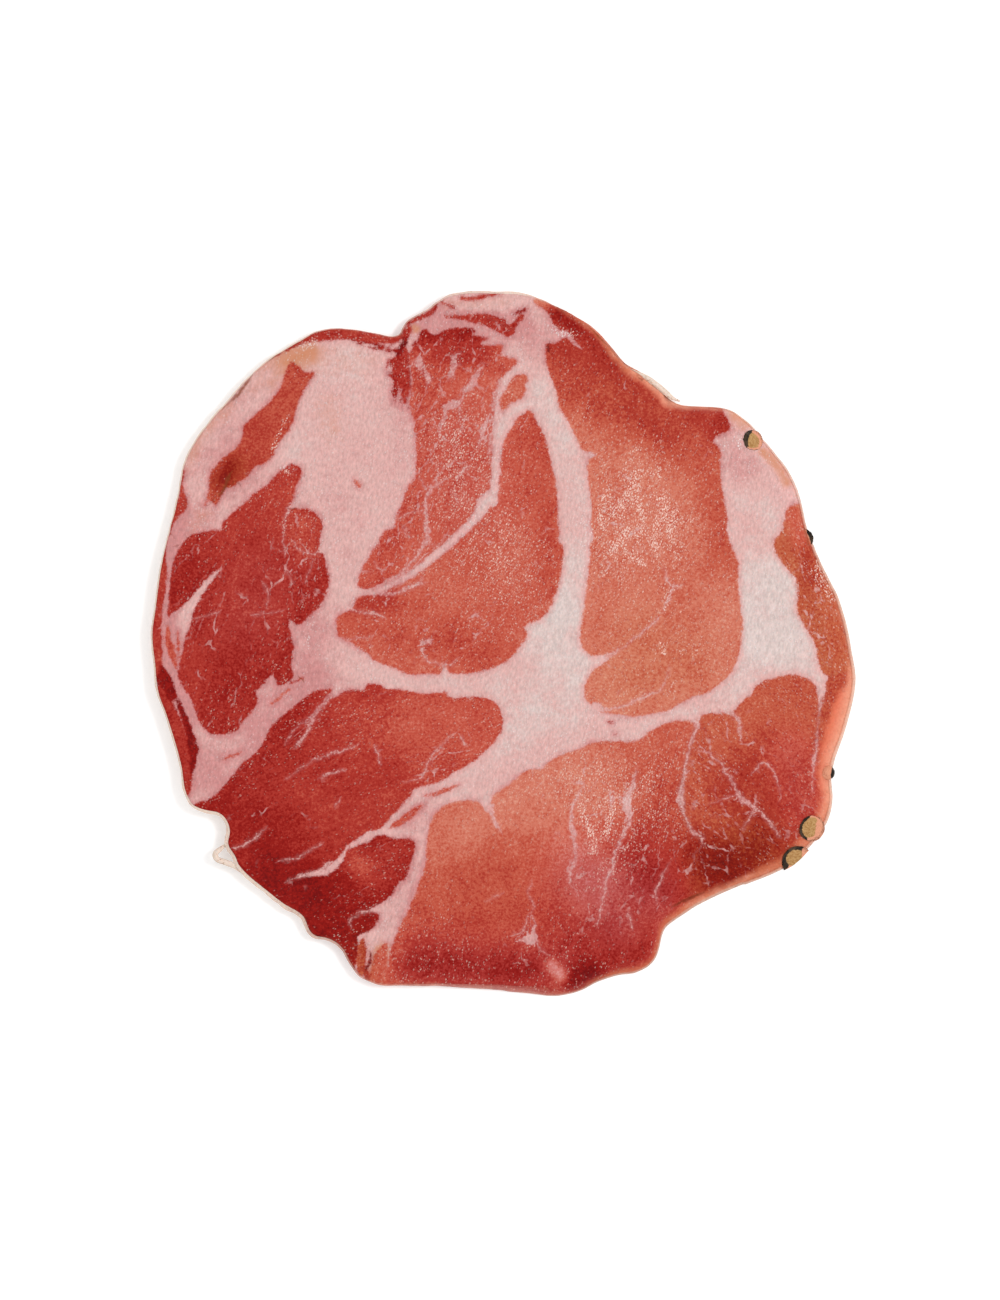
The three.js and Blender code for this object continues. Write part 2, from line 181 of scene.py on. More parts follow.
    "small_lower": (0.78, 0, 25, 0.15, """
        -25,-33 -24,-32.3 -22,-31.7 -20.5,-30.8 -19,-30.3 -18.2,-30.8 -16.5,-31 -15.3,-31
        -14.2,-31.6 -14.2,-32.8 -14.7,-34.5 -15.3,-36.5 -15.8,-37.6 -16.6,-37.9 -17.3,-39.2
        -18.5,-40.5 -20,-41.7 -21.6,-42.3 -20.4,-42.8 -19.9,-43.3 -20,-44.2 -20.7,-45.1
        -21.7,-45.9 -22.8,-46.3 -23.3,-46.8 -23.2,-48 -23.3,-50 -25,-54 -29,-50.5 -33,-48
        -36,-44.5 -35,-39 -33,-37.3 -30.5,-37 -28,-36.7 -26.5,-35.6 -25.5,-34.3"""),
}

# Thin lean in the fat of the rim: how deeply cured, half width, and the stroke, whose points may
# carry a half width of their own.
LEAN_STRANDS = {
    "left_rim": (0.57, 0.35, """
        -51.1,27.6,0.15 -51.4,25.5,0.25 -51.2,23.4,0.6 -51.4,22.1,0.9 -52.2,21,0.7 -53,19.5,0.45
        -54,17,0.45 -54.4,14.5,0.5 -54.3,12,0.6 -54.5,9.5,0.65 -54.9,7,0.75 -55.2,5,0.8
        -55.4,1,0.85 -55.3,-2,0.85 -55.1,-4.5,0.75"""),
    "left_rim_low": (0.64, 0.45, """
        -54.6,-7,0.7 -53.8,-9.5,1 -52.8,-12,1.2 -51.9,-14.5,1.3 -51.2,-17,1.3 -50.8,-19.5,1.15
        -50.6,-22,0.9 -50.6,-23.7,0.5"""),
    "left_wedge": (0.92, 0.35, """
        -52.2,-8.6,0.2 -51.2,-11,0.5 -50.4,-13.5,0.7 -49.7,-16,0.85 -49.6,-18,0.75 -49.9,-20,0.5
        -50.3,-21.8,0.2"""),
    "upper_left_rim": (0.62, 0.55, """
        -36.4,46.2,0.15 -34.5,47.3,0.3 -32.5,48.3,0.5 -30.5,49.1,0.75 -28,49.5,0.9 -25,49.6,0.9
        -22,49.1,0.85 -19.5,48.8,0.7 -17.6,48.7,0.6 -16,49.6,0.8 -15.2,50.3,0.6"""),
    "fold_low": (0.75, 0.1, "-24,48.6 -21.8,47.6 -19.6,47.2 -17.8,47.6"),
    "cleft_fold": (0.95, 0.45, "-15.3,49.9,0.15 -15.7,48.8,0.4 -16.2,47.4,0.5 -16.9,46,0.35"),
    "cleft_gap": (0.66, 0.5, "-15.7,47.4,0.3 -15.5,45.6 -15.3,43.6 -15.1,41,0.3"),
    "cleft_fibre_1": (0.7, 0.1, "-18.4,45.6 -18.6,44.2 -18.4,42.9"),
    "cleft_fibre_2": (0.72, 0.12, "-17.4,41 -17.6,39.6 -17.4,38.6"),
    "cleft_fibre_3": (0.7, 0.1, "-16.5,41.4 -16.6,39.4 -16.3,38"),
    "cleft_fibre_4": (0.72, 0.1, "-15.4,40.4 -15.3,38.6 -15,37.4"),
    "fold": (0.78, 0.2, "-22.5,48.4 -20.5,48,0.3 -19,47.2 -18,46.9 -16.9,47,0.4"),
    "top_left_streak": (0.66, 0.4, "-15.8,51.2 -14.5,51.8 -13,52.4 -11.6,53 -10.8,54"),
    "top_short": (0.6, 0.22, "-10.1,54.9 -9,54.3 -8.1,53.8"),
    "top_rim_streak": (0.55, 0.25, "-7,55.3 -5.8,55.2,0.3 -4.5,55.3,0.35 -2.5,55.8 -0.6,56.1,0.12"),
    "top_band": (0.62, 0.8, """
        -9.2,52.4,0.2 -7.6,52.3,0.4 -6,52.2,0.5 -4.4,52.1,0.85 -2.6,51.8,1 -0.8,51.1,1.15
        0.8,50.2,1 1.8,51.2,0.4 2.9,52.4,0.45"""),
    "top_dark": (0.82, 0.2, "1.7,52.8,0.1 2.6,53.2 3.7,53.5"),
    "junction_slit": (0.5, 0.14, "-18.8,8.7 -17,9.2 -15.2,9.6"),
    "low_rim_slit": (0.8, 0.22, "-21.3,-49.4,0.1 -21.2,-50.2 -21.6,-51.2 -22.1,-52 -22,-53.2"),
}

# Veins of fat in the lean: half width, and the stroke.
VEINS = {
    "diagonal": (0.45, """
        3.6,38.2,0.4 1,37,0.55 -0.5,34.5,0.6 -0.9,31,0.62 -1.1,28,0.55 -1.3,25.4,0.55 -2,23.4,0.95
        -3.2,21.8,0.7 -4.6,20,0.5 -6.6,18.1,0.5 -8.8,16.2 -11.2,14.2 -13.4,12.4,0.35
        -15.6,10.9,0.3 -17.6,10,0.4 -19.4,9,0.6 -21.5,8.4,0.5 -23.6,8.4,0.5"""),
    "diagonal_lower": (0.3, "-20.2,8.4,0.4 -18.5,8.1 -17,8.2 -15,9.1 -13.6,9.6 -12.6,9.8,0.15"),
    "diagonal_spur": (0.12, "-13.2,9.8 -13.1,10.6"),
    "top_branch": (0.35, "2.6,44.4,0.6 1.3,43.6 0.2,42.2 -0.6,40.6 -1,38.6"),
    "lobe_1": (0.52, "-13.4,45.7 -13.6,44.4 -12.6,43.8,0.2 -12.1,42.6 -12.3,41,0.1"),
    "lobe_1_side": (0.3, "-14.9,44.4 -13.9,44.9 -13.2,45.6"),
    "lobe_2": (0.44, "-7,46.5,0.1 -7.9,45.6 -8,44.4 -8.4,43 -9,42.3,0.1"),
    "lobe_3": (0.48, """
        -3.3,44.7,0.08 -4.4,43 -5.5,41 -6.5,39.8,0.2 -7.2,38.8 -8.3,38.3,0.6 -9.3,37.6 -9.6,36,0.2
        -9.9,35 -10.4,34.2,0.08"""),
    "lobe_3_side": (0.15, "-7.2,38.4,0.3 -6.9,37 -7,35.4,0.05"),
    "lobe_4": (0.44, "-0.3,42.2 -1.1,40.4 -1.5,38.4 -2.1,36.9,0.2 -2.9,35.2 -3.5,33.2 -4,31.6,0.06"),
    "lobe_5": (0.36, "-1.1,38.4 -1.3,36.4 -1.7,34.4 -2.2,32.2 -2.6,30,0.06"),
    "lobe_6": (0.4, """
        -9.6,26.3,0.08 -10.8,25.4,0.25 -11.8,24.6 -12.3,23.2,0.25 -12.5,21.6 -12.3,20,0.3
        -12.2,18.4,0.42 -12.3,17 -12.9,15.6 -14.2,13.8,0.3 -15.6,12,0.3 -17.2,10.7,0.45
        -18.4,9.9,0.5"""),
    "lobe_6_top": (0.15, "-13.3,26.2 -12.6,25.3 -12,24.8"),
    "lobe_7": (0.13, "-12.5,21.5 -13.6,21.3 -15,20.9 -16.8,20.2"),
    "lobe_8": (0.13, "-12,16.4,0.25 -11.2,15.9 -10.3,15.5"),
    "lobe_9": (0.1, "-15,17.2 -15.9,17.7 -16,18.5 -15.2,18.6"),
    "lobe_10": (0.16, "-7.4,26.4,0.08 -6.9,27.4 -6.2,28,0.3 -5.6,28.4,0.1"),
    "lobe_11": (0.22, "-8,24.3,0.06 -7.6,23.5 -7.2,22.7,0.06"),
    "lobe_12": (0.1, "-20.5,13 -20,12.2 -19.4,11.7"),
    "lens_left": (0.18, "-26,1 -24,0.9 -22.4,1.1 -21,1.3,0.08"),
    "lens_speck": (0.45, "-12.9,0.1 -12,0.5"),
    "lens_left_hook": (0.14, """
        -13,-0.2 -12.9,-1.6 -12.2,-2.7 -10.6,-2.9 -9.4,-3.3 -8.2,-3.1 -7.3,-2.3"""),
    "lens_gap": (0.34, "-9.4,-5 -9.4,-4 -9.3,-3.2,0.2"),
    "lens_tip": (0.3, "-24.2,5.6 -22.6,5.2,0.15 -20.6,5 -19,4.2,0.06"),
    "lens_low": (0.3, "-4.9,4.6,0.4 -4.2,4.9,0.3 -3.6,4.2,0.1"),
    "left_gap": (0.13, "-34.1,22,0.3 -34.8,20.4 -35.2,18.4 -35.2,16.4 -34.9,14.4"),
    "left_1": (0.15, "-29.3,15,0.25 -30.3,14.2 -31.5,14.6 -32.8,15.4 -33.6,16.4"),
    "left_2": (0.1, "-30.2,13.7 -30.9,12 -31.5,10.2"),
    "left_3": (0.08, "-34.9,12.3 -34.3,11 -33.6,10.1"),
    "left_4": (0.1, "-38.4,9.8 -37.6,8 -37.9,6.2"),
    "left_5": (0.14, "-45.5,5.3 -47.4,4.6 -49.4,4"),
    "left_6": (0.08, "-35.4,5.4 -37,5 -40,4.8"),
    "right_wedge": (0.45, "15.6,-2.4,0.7 17,-1.7,0.4 18.6,-0.8,0.2 20.4,0.5,0.08"),
    "right_bright": (0.24, "20.4,0.5 22,1.8 23.4,3 24.6,4.1"),
    "right_low_edge": (0.3, """
        14.8,-10.1,0.8 17,-10.3 19.4,-9.9 21,-9 23,-8.1,0.25 25,-7.2,0.2 26,-5.6,0.15
        26.5,-3.6,0.06"""),
    "right_knot": (0.26, "28.4,9.5,0.08 27.3,9.1 26.6,8.2,0.25 26.2,6.8 25.5,5.3,0.06"),
    "right_knot_top": (0.2, "25.6,12.2,0.05 26,10.8,0.25 26.6,9.6"),
    "low_right_tongue": (0.25, """
        50.8,-5.4,0.8 51,-7.4,0.45 50.7,-9.4,0.2 50.4,-11.5,0.1 50.1,-14,0.1 49.9,-16.8
        49.7,-18.4,0.4 49.5,-20,0.2 49.3,-23.5,0.1"""),
    "low_right_a": (0.26, """
        30.6,-11,0.7 30.9,-13,0.4 30,-15.5 29.3,-18 29.1,-20.2 28.5,-22.6,0.4 28.3,-25,0.5
        28.8,-27 29.6,-29 30.3,-30.2 31.6,-30.6 31.9,-31.7,0.12"""),
    "low_right_b": (0.24, """
        31.3,-16.8,0.1 33,-17.5 34.5,-18.8 35.5,-20.3 36.6,-21.9 37.2,-23.3 38,-24.6,0.4
        39.2,-25.5,0.4 40.9,-26.7 42.2,-28 43,-29.2 44,-30.6,0.08"""),
    "low_right_b1": (0.16, "37.4,-24.2 35.2,-24.5 33,-25.4,0.05"),
    "low_right_b2": (0.18, "39.7,-26.2 39.1,-28 38.3,-29.6,0.05"),
    "low_right_c": (0.2, "39.8,-20.6,0.06 41,-19.2 42.3,-19.1 43.4,-21 44.3,-23.6,0.06"),
    "low_right_d": (0.34, "35.8,-10.6,0.6 37.1,-11.4 37.7,-12.8 37.9,-14 38,-15.4,0.08"),
    "strip_gap": (0.36, """
        -27,-7.7,0.6 -28.2,-8.9 -29.5,-10.4 -30.5,-12 -31.3,-13.8,0.28 -32.2,-15.2
        -33.4,-16.4,0.08"""),
    "strip_side": (0.18, "-30.9,-11.6 -32.2,-12.6 -33.6,-14 -34.8,-15.8,0.05"),
    "lower_left_1": (0.13, "-28.4,-18 -31,-18.8 -33,-20.3 -34.6,-21.4"),
    "lower_left_2": (0.2, """
        -8.6,-14.8,0.06 -10.5,-16.8 -12,-18.8 -12.7,-20.3 -13.6,-21.5 -16,-22,0.06"""),
    "lower_left_3": (0.2, "-29.2,-18,0.06 -27.4,-17.4 -25.4,-16.8 -23.4,-16.1,0.06"),
    "lower_left_4": (0.22, "-29.4,-21.4,0.06 -27.5,-20.6 -25.4,-20,0.06"),
    "lower_left_5": (0.14, "-20.4,-16.4 -20.1,-17.6 -19.7,-18.9"),
    "lower_left_6": (0.14, "-26.8,-25.8 -26.2,-24.7"),
    "lower_left_7": (0.2, "-42.9,-32.4 -41,-31.8 -39.5,-30.7 -38,-29.2,0.05"),
    "lower_left_8": (0.16, "-6.9,-14.8 -6.2,-15.9"),
    "lower_gap": (0.3, "-28,-35.2,0.5 -30,-36.4 -31.6,-36.8 -33.2,-37.3,0.15 -34.6,-37.9,0.06"),
    "lower_gap_top": (0.2, "-29,-31.8,0.05 -31,-33 -33.5,-34.2 -36,-34.7,0.05"),
    "small_tongue": (0.3, "-19.4,-41.9,0.5 -21.2,-42.5 -23.4,-42.8,0.1"),
    "small_loop": (0.14, "-23.2,-43.2,0.05 -24.3,-43.8 -24.4,-45"),
    "bottom_wedge": (0.45, "-2.6,-25.2,0.8 -1.9,-27.2 -1.2,-28.6 -0.4,-30,0.1"),
    "bottom_1": (0.28, """
        21.3,-19.6,0.08 20.9,-21.4 20.4,-23.4,0.4 19.7,-25.4,0.7 20.2,-27.4,0.5 19.8,-29
        18.6,-31.4 17.9,-33.4,0.3 17.4,-35.5 16.6,-37.4 16.1,-39.8 15.5,-42.6,0.2 15,-44.8,0.06"""),
    "bottom_2": (0.34, """
        12.7,-22.8,0.06 11.6,-24.5 10.8,-27 11,-29.8,0.5 11.5,-32 11.4,-34.2 10.6,-36.8
        11,-38.7,0.06"""),
    "bottom_3": (0.4, "17,-23.2,0.1 17.1,-24.6 17.3,-26.1,0.1"),
    "bottom_4": (0.13, "4.5,-38 3.9,-39.8 4.7,-41.2 4.7,-42.6 3.8,-43.7 3.4,-45.4 1.5,-46.4"),
    "bottom_5": (0.2, "5,-47.4,0.05 6,-48.5 7.2,-49.7,0.05"),
    "bottom_6": (0.22, "26.6,-34.8,0.05 25.2,-37.4 24.3,-39.4 24.5,-41.2,0.05"),
    "bottom_7": (0.16, "20,-42.8 20.5,-45.2"),
    "bottom_8": (0.12, "-2.6,-40.9 -1.5,-40.3 -0.4,-39.8"),
    "bottom_fork": (0.2, "4.7,-43,0.15 4.9,-45.6,0.35 4.4,-46.9,0.85 2.6,-47.3,0.3"),
    "bottom_fork_side": (0.2, "4.6,-46.8,0.3 5.6,-48 6.6,-49.2,0.06"),
}

# Inclusions of lean in the broad fat, thin and soft: how deeply cured, half width, stroke.
STAINS = {
    "curl": (0.3, 0.3, "-23.6,26.1 -23.1,25.7 -23.2,25.3"),
    "low_patch": (0.5, 0.8, "-22.4,-47,0.2 -22.7,-48.6,0.8 -22.8,-50.4 -22.6,-52.4,0.6"),
    "low_patch_2": (0.4, 1.2, "-19,-48.2,0.4 -19.7,-50.4,1.2 -20.2,-53.2"),
    "low_patch_3": (0.6, 0.5, "-22.6,-51,0.4 -21.6,-53.4,0.6"),
    "wedge_low": (0.42, 0.5, "-53.7,3.6,0.1 -53.5,0.8,0.5 -52.9,-1.6,0.55 -52.3,-3.8,0.15"),
    "wedge_low_2": (0.42, 0.3, "-52,2,0.1 -51.9,-0.6,0.25 -51.9,-2.6,0.1"),
    "left_1": (0.45, 0.2, "-44.5,-18.2 -43,-17.7 -41.9,-17.1"),
    "left_2": (0.35, 0.2, "-37,-9.5 -35.5,-8.3 -34.3,-7.2"),
    "left_speck": (0.6, 0.18, "-34,-6.2 -33,-5.8 -32,-5.4"),
    "middle_1": (0.6, 0.15, "16.8,-12.4 17.4,-12.5"),
    "middle_2": (0.6, 0.14, "17.6,-14.3 18.1,-14.3"),
    "inclusion": (0.4, 0.32, "-7.2,-22.4,0.1 -9,-23.2 -11,-23.9 -12.6,-24,0.12"),
    "leaf": (0.42, 0.6, "-12.6,-25.5,0.1 -14.2,-26.6,0.5 -15.6,-27.7 -17,-28.6,0.5 -18.2,-29.3,0.1"),
}

# Dark lines and pits, partly darker meat and partly painted shade in the hollows: half width, how
# brown, depth, stroke.
MARKS = {
    "rim_crack": (0.3, 1.0, 0.25, """
        -44.8,37.7,0.08 -43.6,38.8,0.2 -42.3,40,0.34 -41.2,41.5,0.24 -40.1,43.2,0.06"""),
    "rim_line": (0.12, 0.7, 0.15, "-38.2,45 -36.6,46 -35.2,47,0.06"),
    "pit": (0.4, 0.75, 0.25, """
        -43.6,27.4,0.15 -44,26.6,0.4 -44.3,25.6,0.25 -44.8,24.6,0.35 -45.4,23.6,0.1"""),
    "pit_low": (0.15, 0.5, 0.1, "-46,23.8 -46.4,22.8 -47,22.4"),
    "stem_corner": (0.28, 0.05, 0.1, "7.2,47.8 7.1,47 7.3,46.6,0.1"),
    "fat_speck": (0.16, 1.0, 0.05, "-32.4,-5.4 -32.2,-5.6"),
    "left_notch": (0.16, 0.6, 0.05, "-34,21.7 -33.2,21.8"),
    "strip_speck": (0.12, 0.7, 0.05, "-42.6,25.9 -42.3,25.6"),
    "slit": (0.22, 0.1, 0.25, "-21.2,-49.4,0.1 -21.2,-50.3 -21.6,-51.3 -22.1,-52.2,0.1"),
    "upper_right_line": (0.15, 0.75, 0.03, """
        13.4,51,0.08 15.2,49.2 17,47.4 18.5,45.7 20,44.4 21.6,43.3 23.4,42.1 25,40.7 26.3,39.4
        27.4,38.7,0.06"""),
    "right_line": (0.12, 0.8, 0.05, "48,19,0.06 48.4,17.4 49,15.6,0.06"),
    "rim_pit": (0.3, 0.5, 0.25, "27,-41.9,0.1 28.2,-41.2 29.6,-40.6 32,-39.6,0.15"),
    "left_dots": (0.12, 0.6, 0.02, "-52.4,15.7 -52,15.8"),
    "left_dots_2": (0.1, 0.6, 0.02, "-53,17.5 -52.7,17.3"),
    "lip_1": (0.14, 0.6, 0.1, "21.4,42.8 22,42.3 22.6,42.5"),
}

# Bright wet streaks, where more wet specks are painted in as highlights and shine: half width and
# stroke.
GLINTS = {
    "streak_1": (0.3, "21.4,27.1 20.6,25.6 19.7,24.1 18.8,22.4 17.6,20.7"),
    "streak_2": (0.5, "19.6,17.9 18.4,16.5 17.4,15.1"),
    "streak_3": (0.4, "25.1,19.6 24.3,18 23.9,16.4 24.2,15"),
    "streak_4": (0.8, "25.2,23.4 25.4,21.8 25.8,20.4"),
    "streak_5": (0.4, "20.2,14.4 20.8,13.9 22.4,12.7"),
    "strip_edge": (0.45, "-34.6,36.4 -35.2,34.9 -36,33.1 -36.7,31.6 -37,30.6"),
    "strip_top": (0.5, "-32,47.9 -30.9,48 -30.2,48.5"),
    "finger_top": (0.4, "-35.3,28.3 -34.6,27.6"),
    "left_gap": (0.22, "-34.1,21.4 -34.9,20 -35.2,17.6"),
    "top_right": (0.5, "7.8,50.8 8.9,49.7 11.2,49.7"),
    "corn_side": (0.16, "37.8,33.5 37.6,32.4 37.7,31.2"),
    "corn_side_2": (0.12, "35.5,32 35.3,30.9"),
    "knot": (0.3, "26.6,8.4 26.2,6.9 25.7,5.6"),
    "right_low": (0.25, "25.2,0.2 25.7,-1.5"),
    "fat_left": (0.12, "-31.2,1.4 -31.2,-0.5"),
    "right_rim": (0.5, "49.4,12 50.4,10.4 51.3,9"),
    "right_rim_2": (0.6, "50.4,13 51.6,9.8 52.4,7.2"),
    "streak_6": (0.35, "16.6,24.4 15.4,21.6 15.8,18.6"),
    "streak_7": (0.4, "27.6,21.4 26.6,19 27,16.6"),
    "streak_8": (0.35, "21.4,22.4 22.4,20 21.6,17.6"),
    "bottom_a": (0.5, "12.4,-26 13.6,-29.4 14.6,-33"),
    "bottom_b": (0.4, "17.6,-26.6 16.4,-30"),
}

# Places where a quantity differs from its surroundings: value, reach, and the stroke it follows.
# Away from the muscles the surroundings have these.
BASE_CURE = 0.4
BASE_FLUSH = 0.4
BASE_WET = 0.36
CURE_PLACES = [
    (0.8, 3.2, "-14,49 -9,49.5 -5,49.8"),
    (0.5, 3.5, "-13,44 -12,40 -12.5,34"),
    (0.8, 1.6, "-44.6,26.6 -43.6,28.4"),
    (0.46, 2.6, "-13,30 -14,25 -16,20 -19,15 -21.5,10"),
    (0.4, 6, "-8,34 -7,28 -6,20"),
    (0.62, 2, "-10,46 -4,46.4"),
    (0.5, 2.2, "4,35 6.4,29 7.4,22 7.8,15 7.4,9"),
    (0.44, 3, "3.4,32 4.6,24"),
    (0.6, 2.6, "-22,6.6 -19,6.6"),
    (0.42, 4, "-15,1 -21,2"),
    (0.88, 2.6, "9,52.4 12,49.6 15,46.8 17,44.6"),
    (0.62, 4.2, "9,47 13,45 20,40.4 28,36.6 34.4,35"),
    (0.54, 5, "12,41 20,37.4 28,34"),
    (0.72, 1.8, "35,35.6 33.6,33"),
    (0.44, 4, "32,30 33.4,24 35,14"),
    (0.27, 6, "16,26 15.6,14 17,6"),
    (0.28, 7, "25,15 28,6"),
    (0.3, 5, "24,-4 22,1 30,-2"),
    (0.62, 1.4, "48.2,14 49.6,10.6"),
    (0.4, 1.6, "44.6,16 46,13"),
    (0.36, 5, "36,-14 42,-10"),
    (0.57, 5, "36,-22 44,-18"),
    (0.66, 4, "40,-26 45,-27"),
    (0.7, 5, "42,-32 38,-36"),
    (0.52, 4, "48,-26 49,-20"),
    (0.28, 6, "19,-30 13,-24 24,-24"),
    (0.18, 7, "-6,-31 2,-25 10,-22"),
    (0.43, 5, "-8,-38 0,-36"),
    (0.85, 4.5, "31,-34 36,-37"),
    (0.5, 5, "24,-30 26,-24"),
    (0.68, 5, "22,-34 26,-40"),
    (0.5, 5, "-12,-46 0,-44 8,-42"),
    (0.75, 3.6, "-14,-51 -4,-51.6 6,-52 14,-51 22,-48"),
    (0.68, 4.5, "12,-48 17,-47"),
    (0.56, 3.5, "20,-45 24,-43"),
    (0.95, 2.2, "11.6,-53.6 14,-52.4"),
    (0.12, 1.3, "7.8,-51.4 9,-52.8"),
    (0.72, 4, "-42,-4 -45,-9"),
    (0.76, 5, "-52,12 -51.5,8"),
    (0.52, 4, "-32,17 -34,25 -38,22"),
    (0.6, 4, "-40,14 -38,6"),
    (0.7, 4, "-30,9 -32,-1 -36,-4"),
    (0.7, 3, "-48,-12 -42,-12.5"),
    (0.74, 4, "-33,-11 -38,-17 -43,-22 -48,-25.6"),
    (0.4, 6, "-8,-12 -14,-14"),
    (0.4, 1.6, "-1.2,-10.6 -1,-13.4 -4,-17"),
    (0.4, 3, "45,-12 46,-16"),
    (0.68, 4, "-28,-20 -35,-19"),
    (0.68, 3, "-35,-30 -33,-28"),
    (0.76, 6, "-39,-31 -44,-28 -34,-34"),
    (0.6, 5, "-24,-24 -20,-20"),
    (0.88, 5, "-29.4,-39.4 -33,-41 -27,-44 -38,-38"),
    (0.64, 3, "-18,-34 -20,-37"),
    (0.5, 3.5, "-8,1 -3,-1"),
    (0.5, 2, "-24,-34 -22.5,-35.5"),
]
WARM_PLACES = [
    (0.25, 6, "22,0 28,-3 20,-5"),
    (1, 5, "40,-33 32,-36 29,-41"),
    (-0.2, 4, "46,-18 48,-26"),
    (0.7, 2, "-45,26 -43,28.4"),
    (0.5, 1.8, "-22.6,-47 -22.6,-52"),
    (0.45, 2, "45,16 46,12"),
    (0.1, 2, "46.4,20.6 47.6,17"),
    (-0.9, 6, "18,-44 14,-38 24,-40"),
    (-0.5, 5, "-12,-51.6 0,-52.4 9,-51"),
    (-0.2, 6, "-8,32 -6,24"),
    (-0.35, 6, "-38,11 -41,3"),
    (0.2, 5, "18,41 26,38"),
]
WEB_PLACES = [
    (1.0, 3.5, "-13,42 -11,34 -13,26 -17,17"),
    (0.9, 3.0, "-5,42 -6,34 -5,27"),
    (0.3, 4.0, "-8,20 -5,24"),
    (0.85, 4.5, "-31,12 -35,14"),
    (0.0, 5.0, "-38,22 -42,20"),
    (0.25, 5.0, "-41,-31 -34,-31 -30,-27"),
    (0.8, 3.5, "-14,-19 -9,-17"),
    (0.0, 6.0, "-3,-32 -6,-44"),
    (0.75, 5.0, "14,-24 20,-28 26,-34"),
    (0.7, 4.0, "14,-38 18,-44 22,-40"),
    (0.7, 4.0, "33,-16 38,-24 34,-31"),
    (0.0, 6.0, "33,14 33,2"),
    (0.5, 4.0, "-12,1 -20,2"),
    (0.6, 4.0, "16,12 20,26"),
    (0.9, 3.0, "48,11 50,4 52,0"),
]
FLUSH_PLACES = [
    (0.95, 4, "-12,52 -5,52 2,51 5,48"),
    (0.8, 3.5, "-16.6,40 -17,36 -16,30"),
    (0.5, 9, "-24,36 -24,26 -24,18"),
    (0.74, 4, "-42,38 -46,31 -49,24"),
    (0.9, 2.5, "9,50 11,48.6"),
    (0.42, 4, "-24,40 -26,46"),
    (0.3, 6, "6,40 10,32 11.5,20 11,8"),
    (0.0, 6, "10,4 9.4,-5"),
    (0.16, 5, "5,-10 2,-14"),
    (0.04, 8, "43,1 41,10"),
    (0.35, 5, "40,20 41,27"),
    (0.74, 3.2, "37,33 38,28 42,28"),
    (0.55, 2.5, "43,30 46,23"),
    (0.5, 1.5, "-9,54.8 -4,54.6 1,55"),
    (0.6, 2.5, "-50.4,27 -50.8,21 -47.4,19"),
    (0.9, 5, "-30,2 -32,-6 -41,-15 -48,-21"),
    (0.7, 4, "-14,-28 -13.4,-34 -17,-42"),
    (1.15, 2, "-52,20 -53,13 -54,6 -53.4,0 -51.6,-5 -49.6,-11"),
    (0.8, 3, "-46,22 -41,26.5"),
]
AMBER_PLACES = [
    (0.88, 2.8, "-37,43.8 -33.4,46 -30.8,46.4"),
    (0.3, 2.4, "-40.5,41 -38,43.2"),
    (0.3, 3, "-26,45 -22,45"),
    (0.45, 1.6, "-44,38 -48.6,33 -50.4,29"),
    (0.75, 1.1, "41.6,30.8 43.6,28.8 45.2,26"),
    (0.3, 1.6, "-9,54.6 -4,54.4 1,54.8"),
    (0.2, 1.2, "-22.4,-47.4 -22.8,-49.6 -22.4,-52"),
    (0.95, 1.5, "-19.4,-49 -19.9,-51.6 -20,-53.4"),
    (0.35, 3, "-28,38 -27.6,34.6"),
    (0.3, 2.4, "-48,21 -49,19"),
    (0.8, 0.8, "-14.3,50.6 -13.9,50.3"),
    (0.7, 1.6, "37,36.6 38.5,35.6"),
]
WET_PLACES = [
    (0.9, 6.5, "20.5,24 19,16 24,18"),
    (0.74, 6, "-8,32 -6,26 -4,18"),
    (0.66, 6, "0,16 2,8"),
    (0.7, 7, "18.6,-30 13,-24 24,-26"),
    (0.42, 8, "24,4 30,0"),
    (0.08, 7, "-40,10 -44,0"),
    (0.08, 5, "-36,37 -42,30"),
    (0.2, 4, "14,45 22,40 30,37"),
    (0.1, 8, "-32,-38 -40,-30 -28,-26"),
    (0.2, 5, "-12,-12 -20,-20"),
    (0.36, 4, "-10,-50 4,-50"),
    (0.12, 5, "34,-36 26,-38 20,-46"),
    (0.2, 6, "41,-14 42,-24 36,-30"),
    (0.12, 7, "-6,-32 0,-42 6,-34"),
    (0.05, 3, "-54,16 -55,2 -53,-8 -51,-18"),
    (0.3, 3, "6.8,30 8,20"),
]

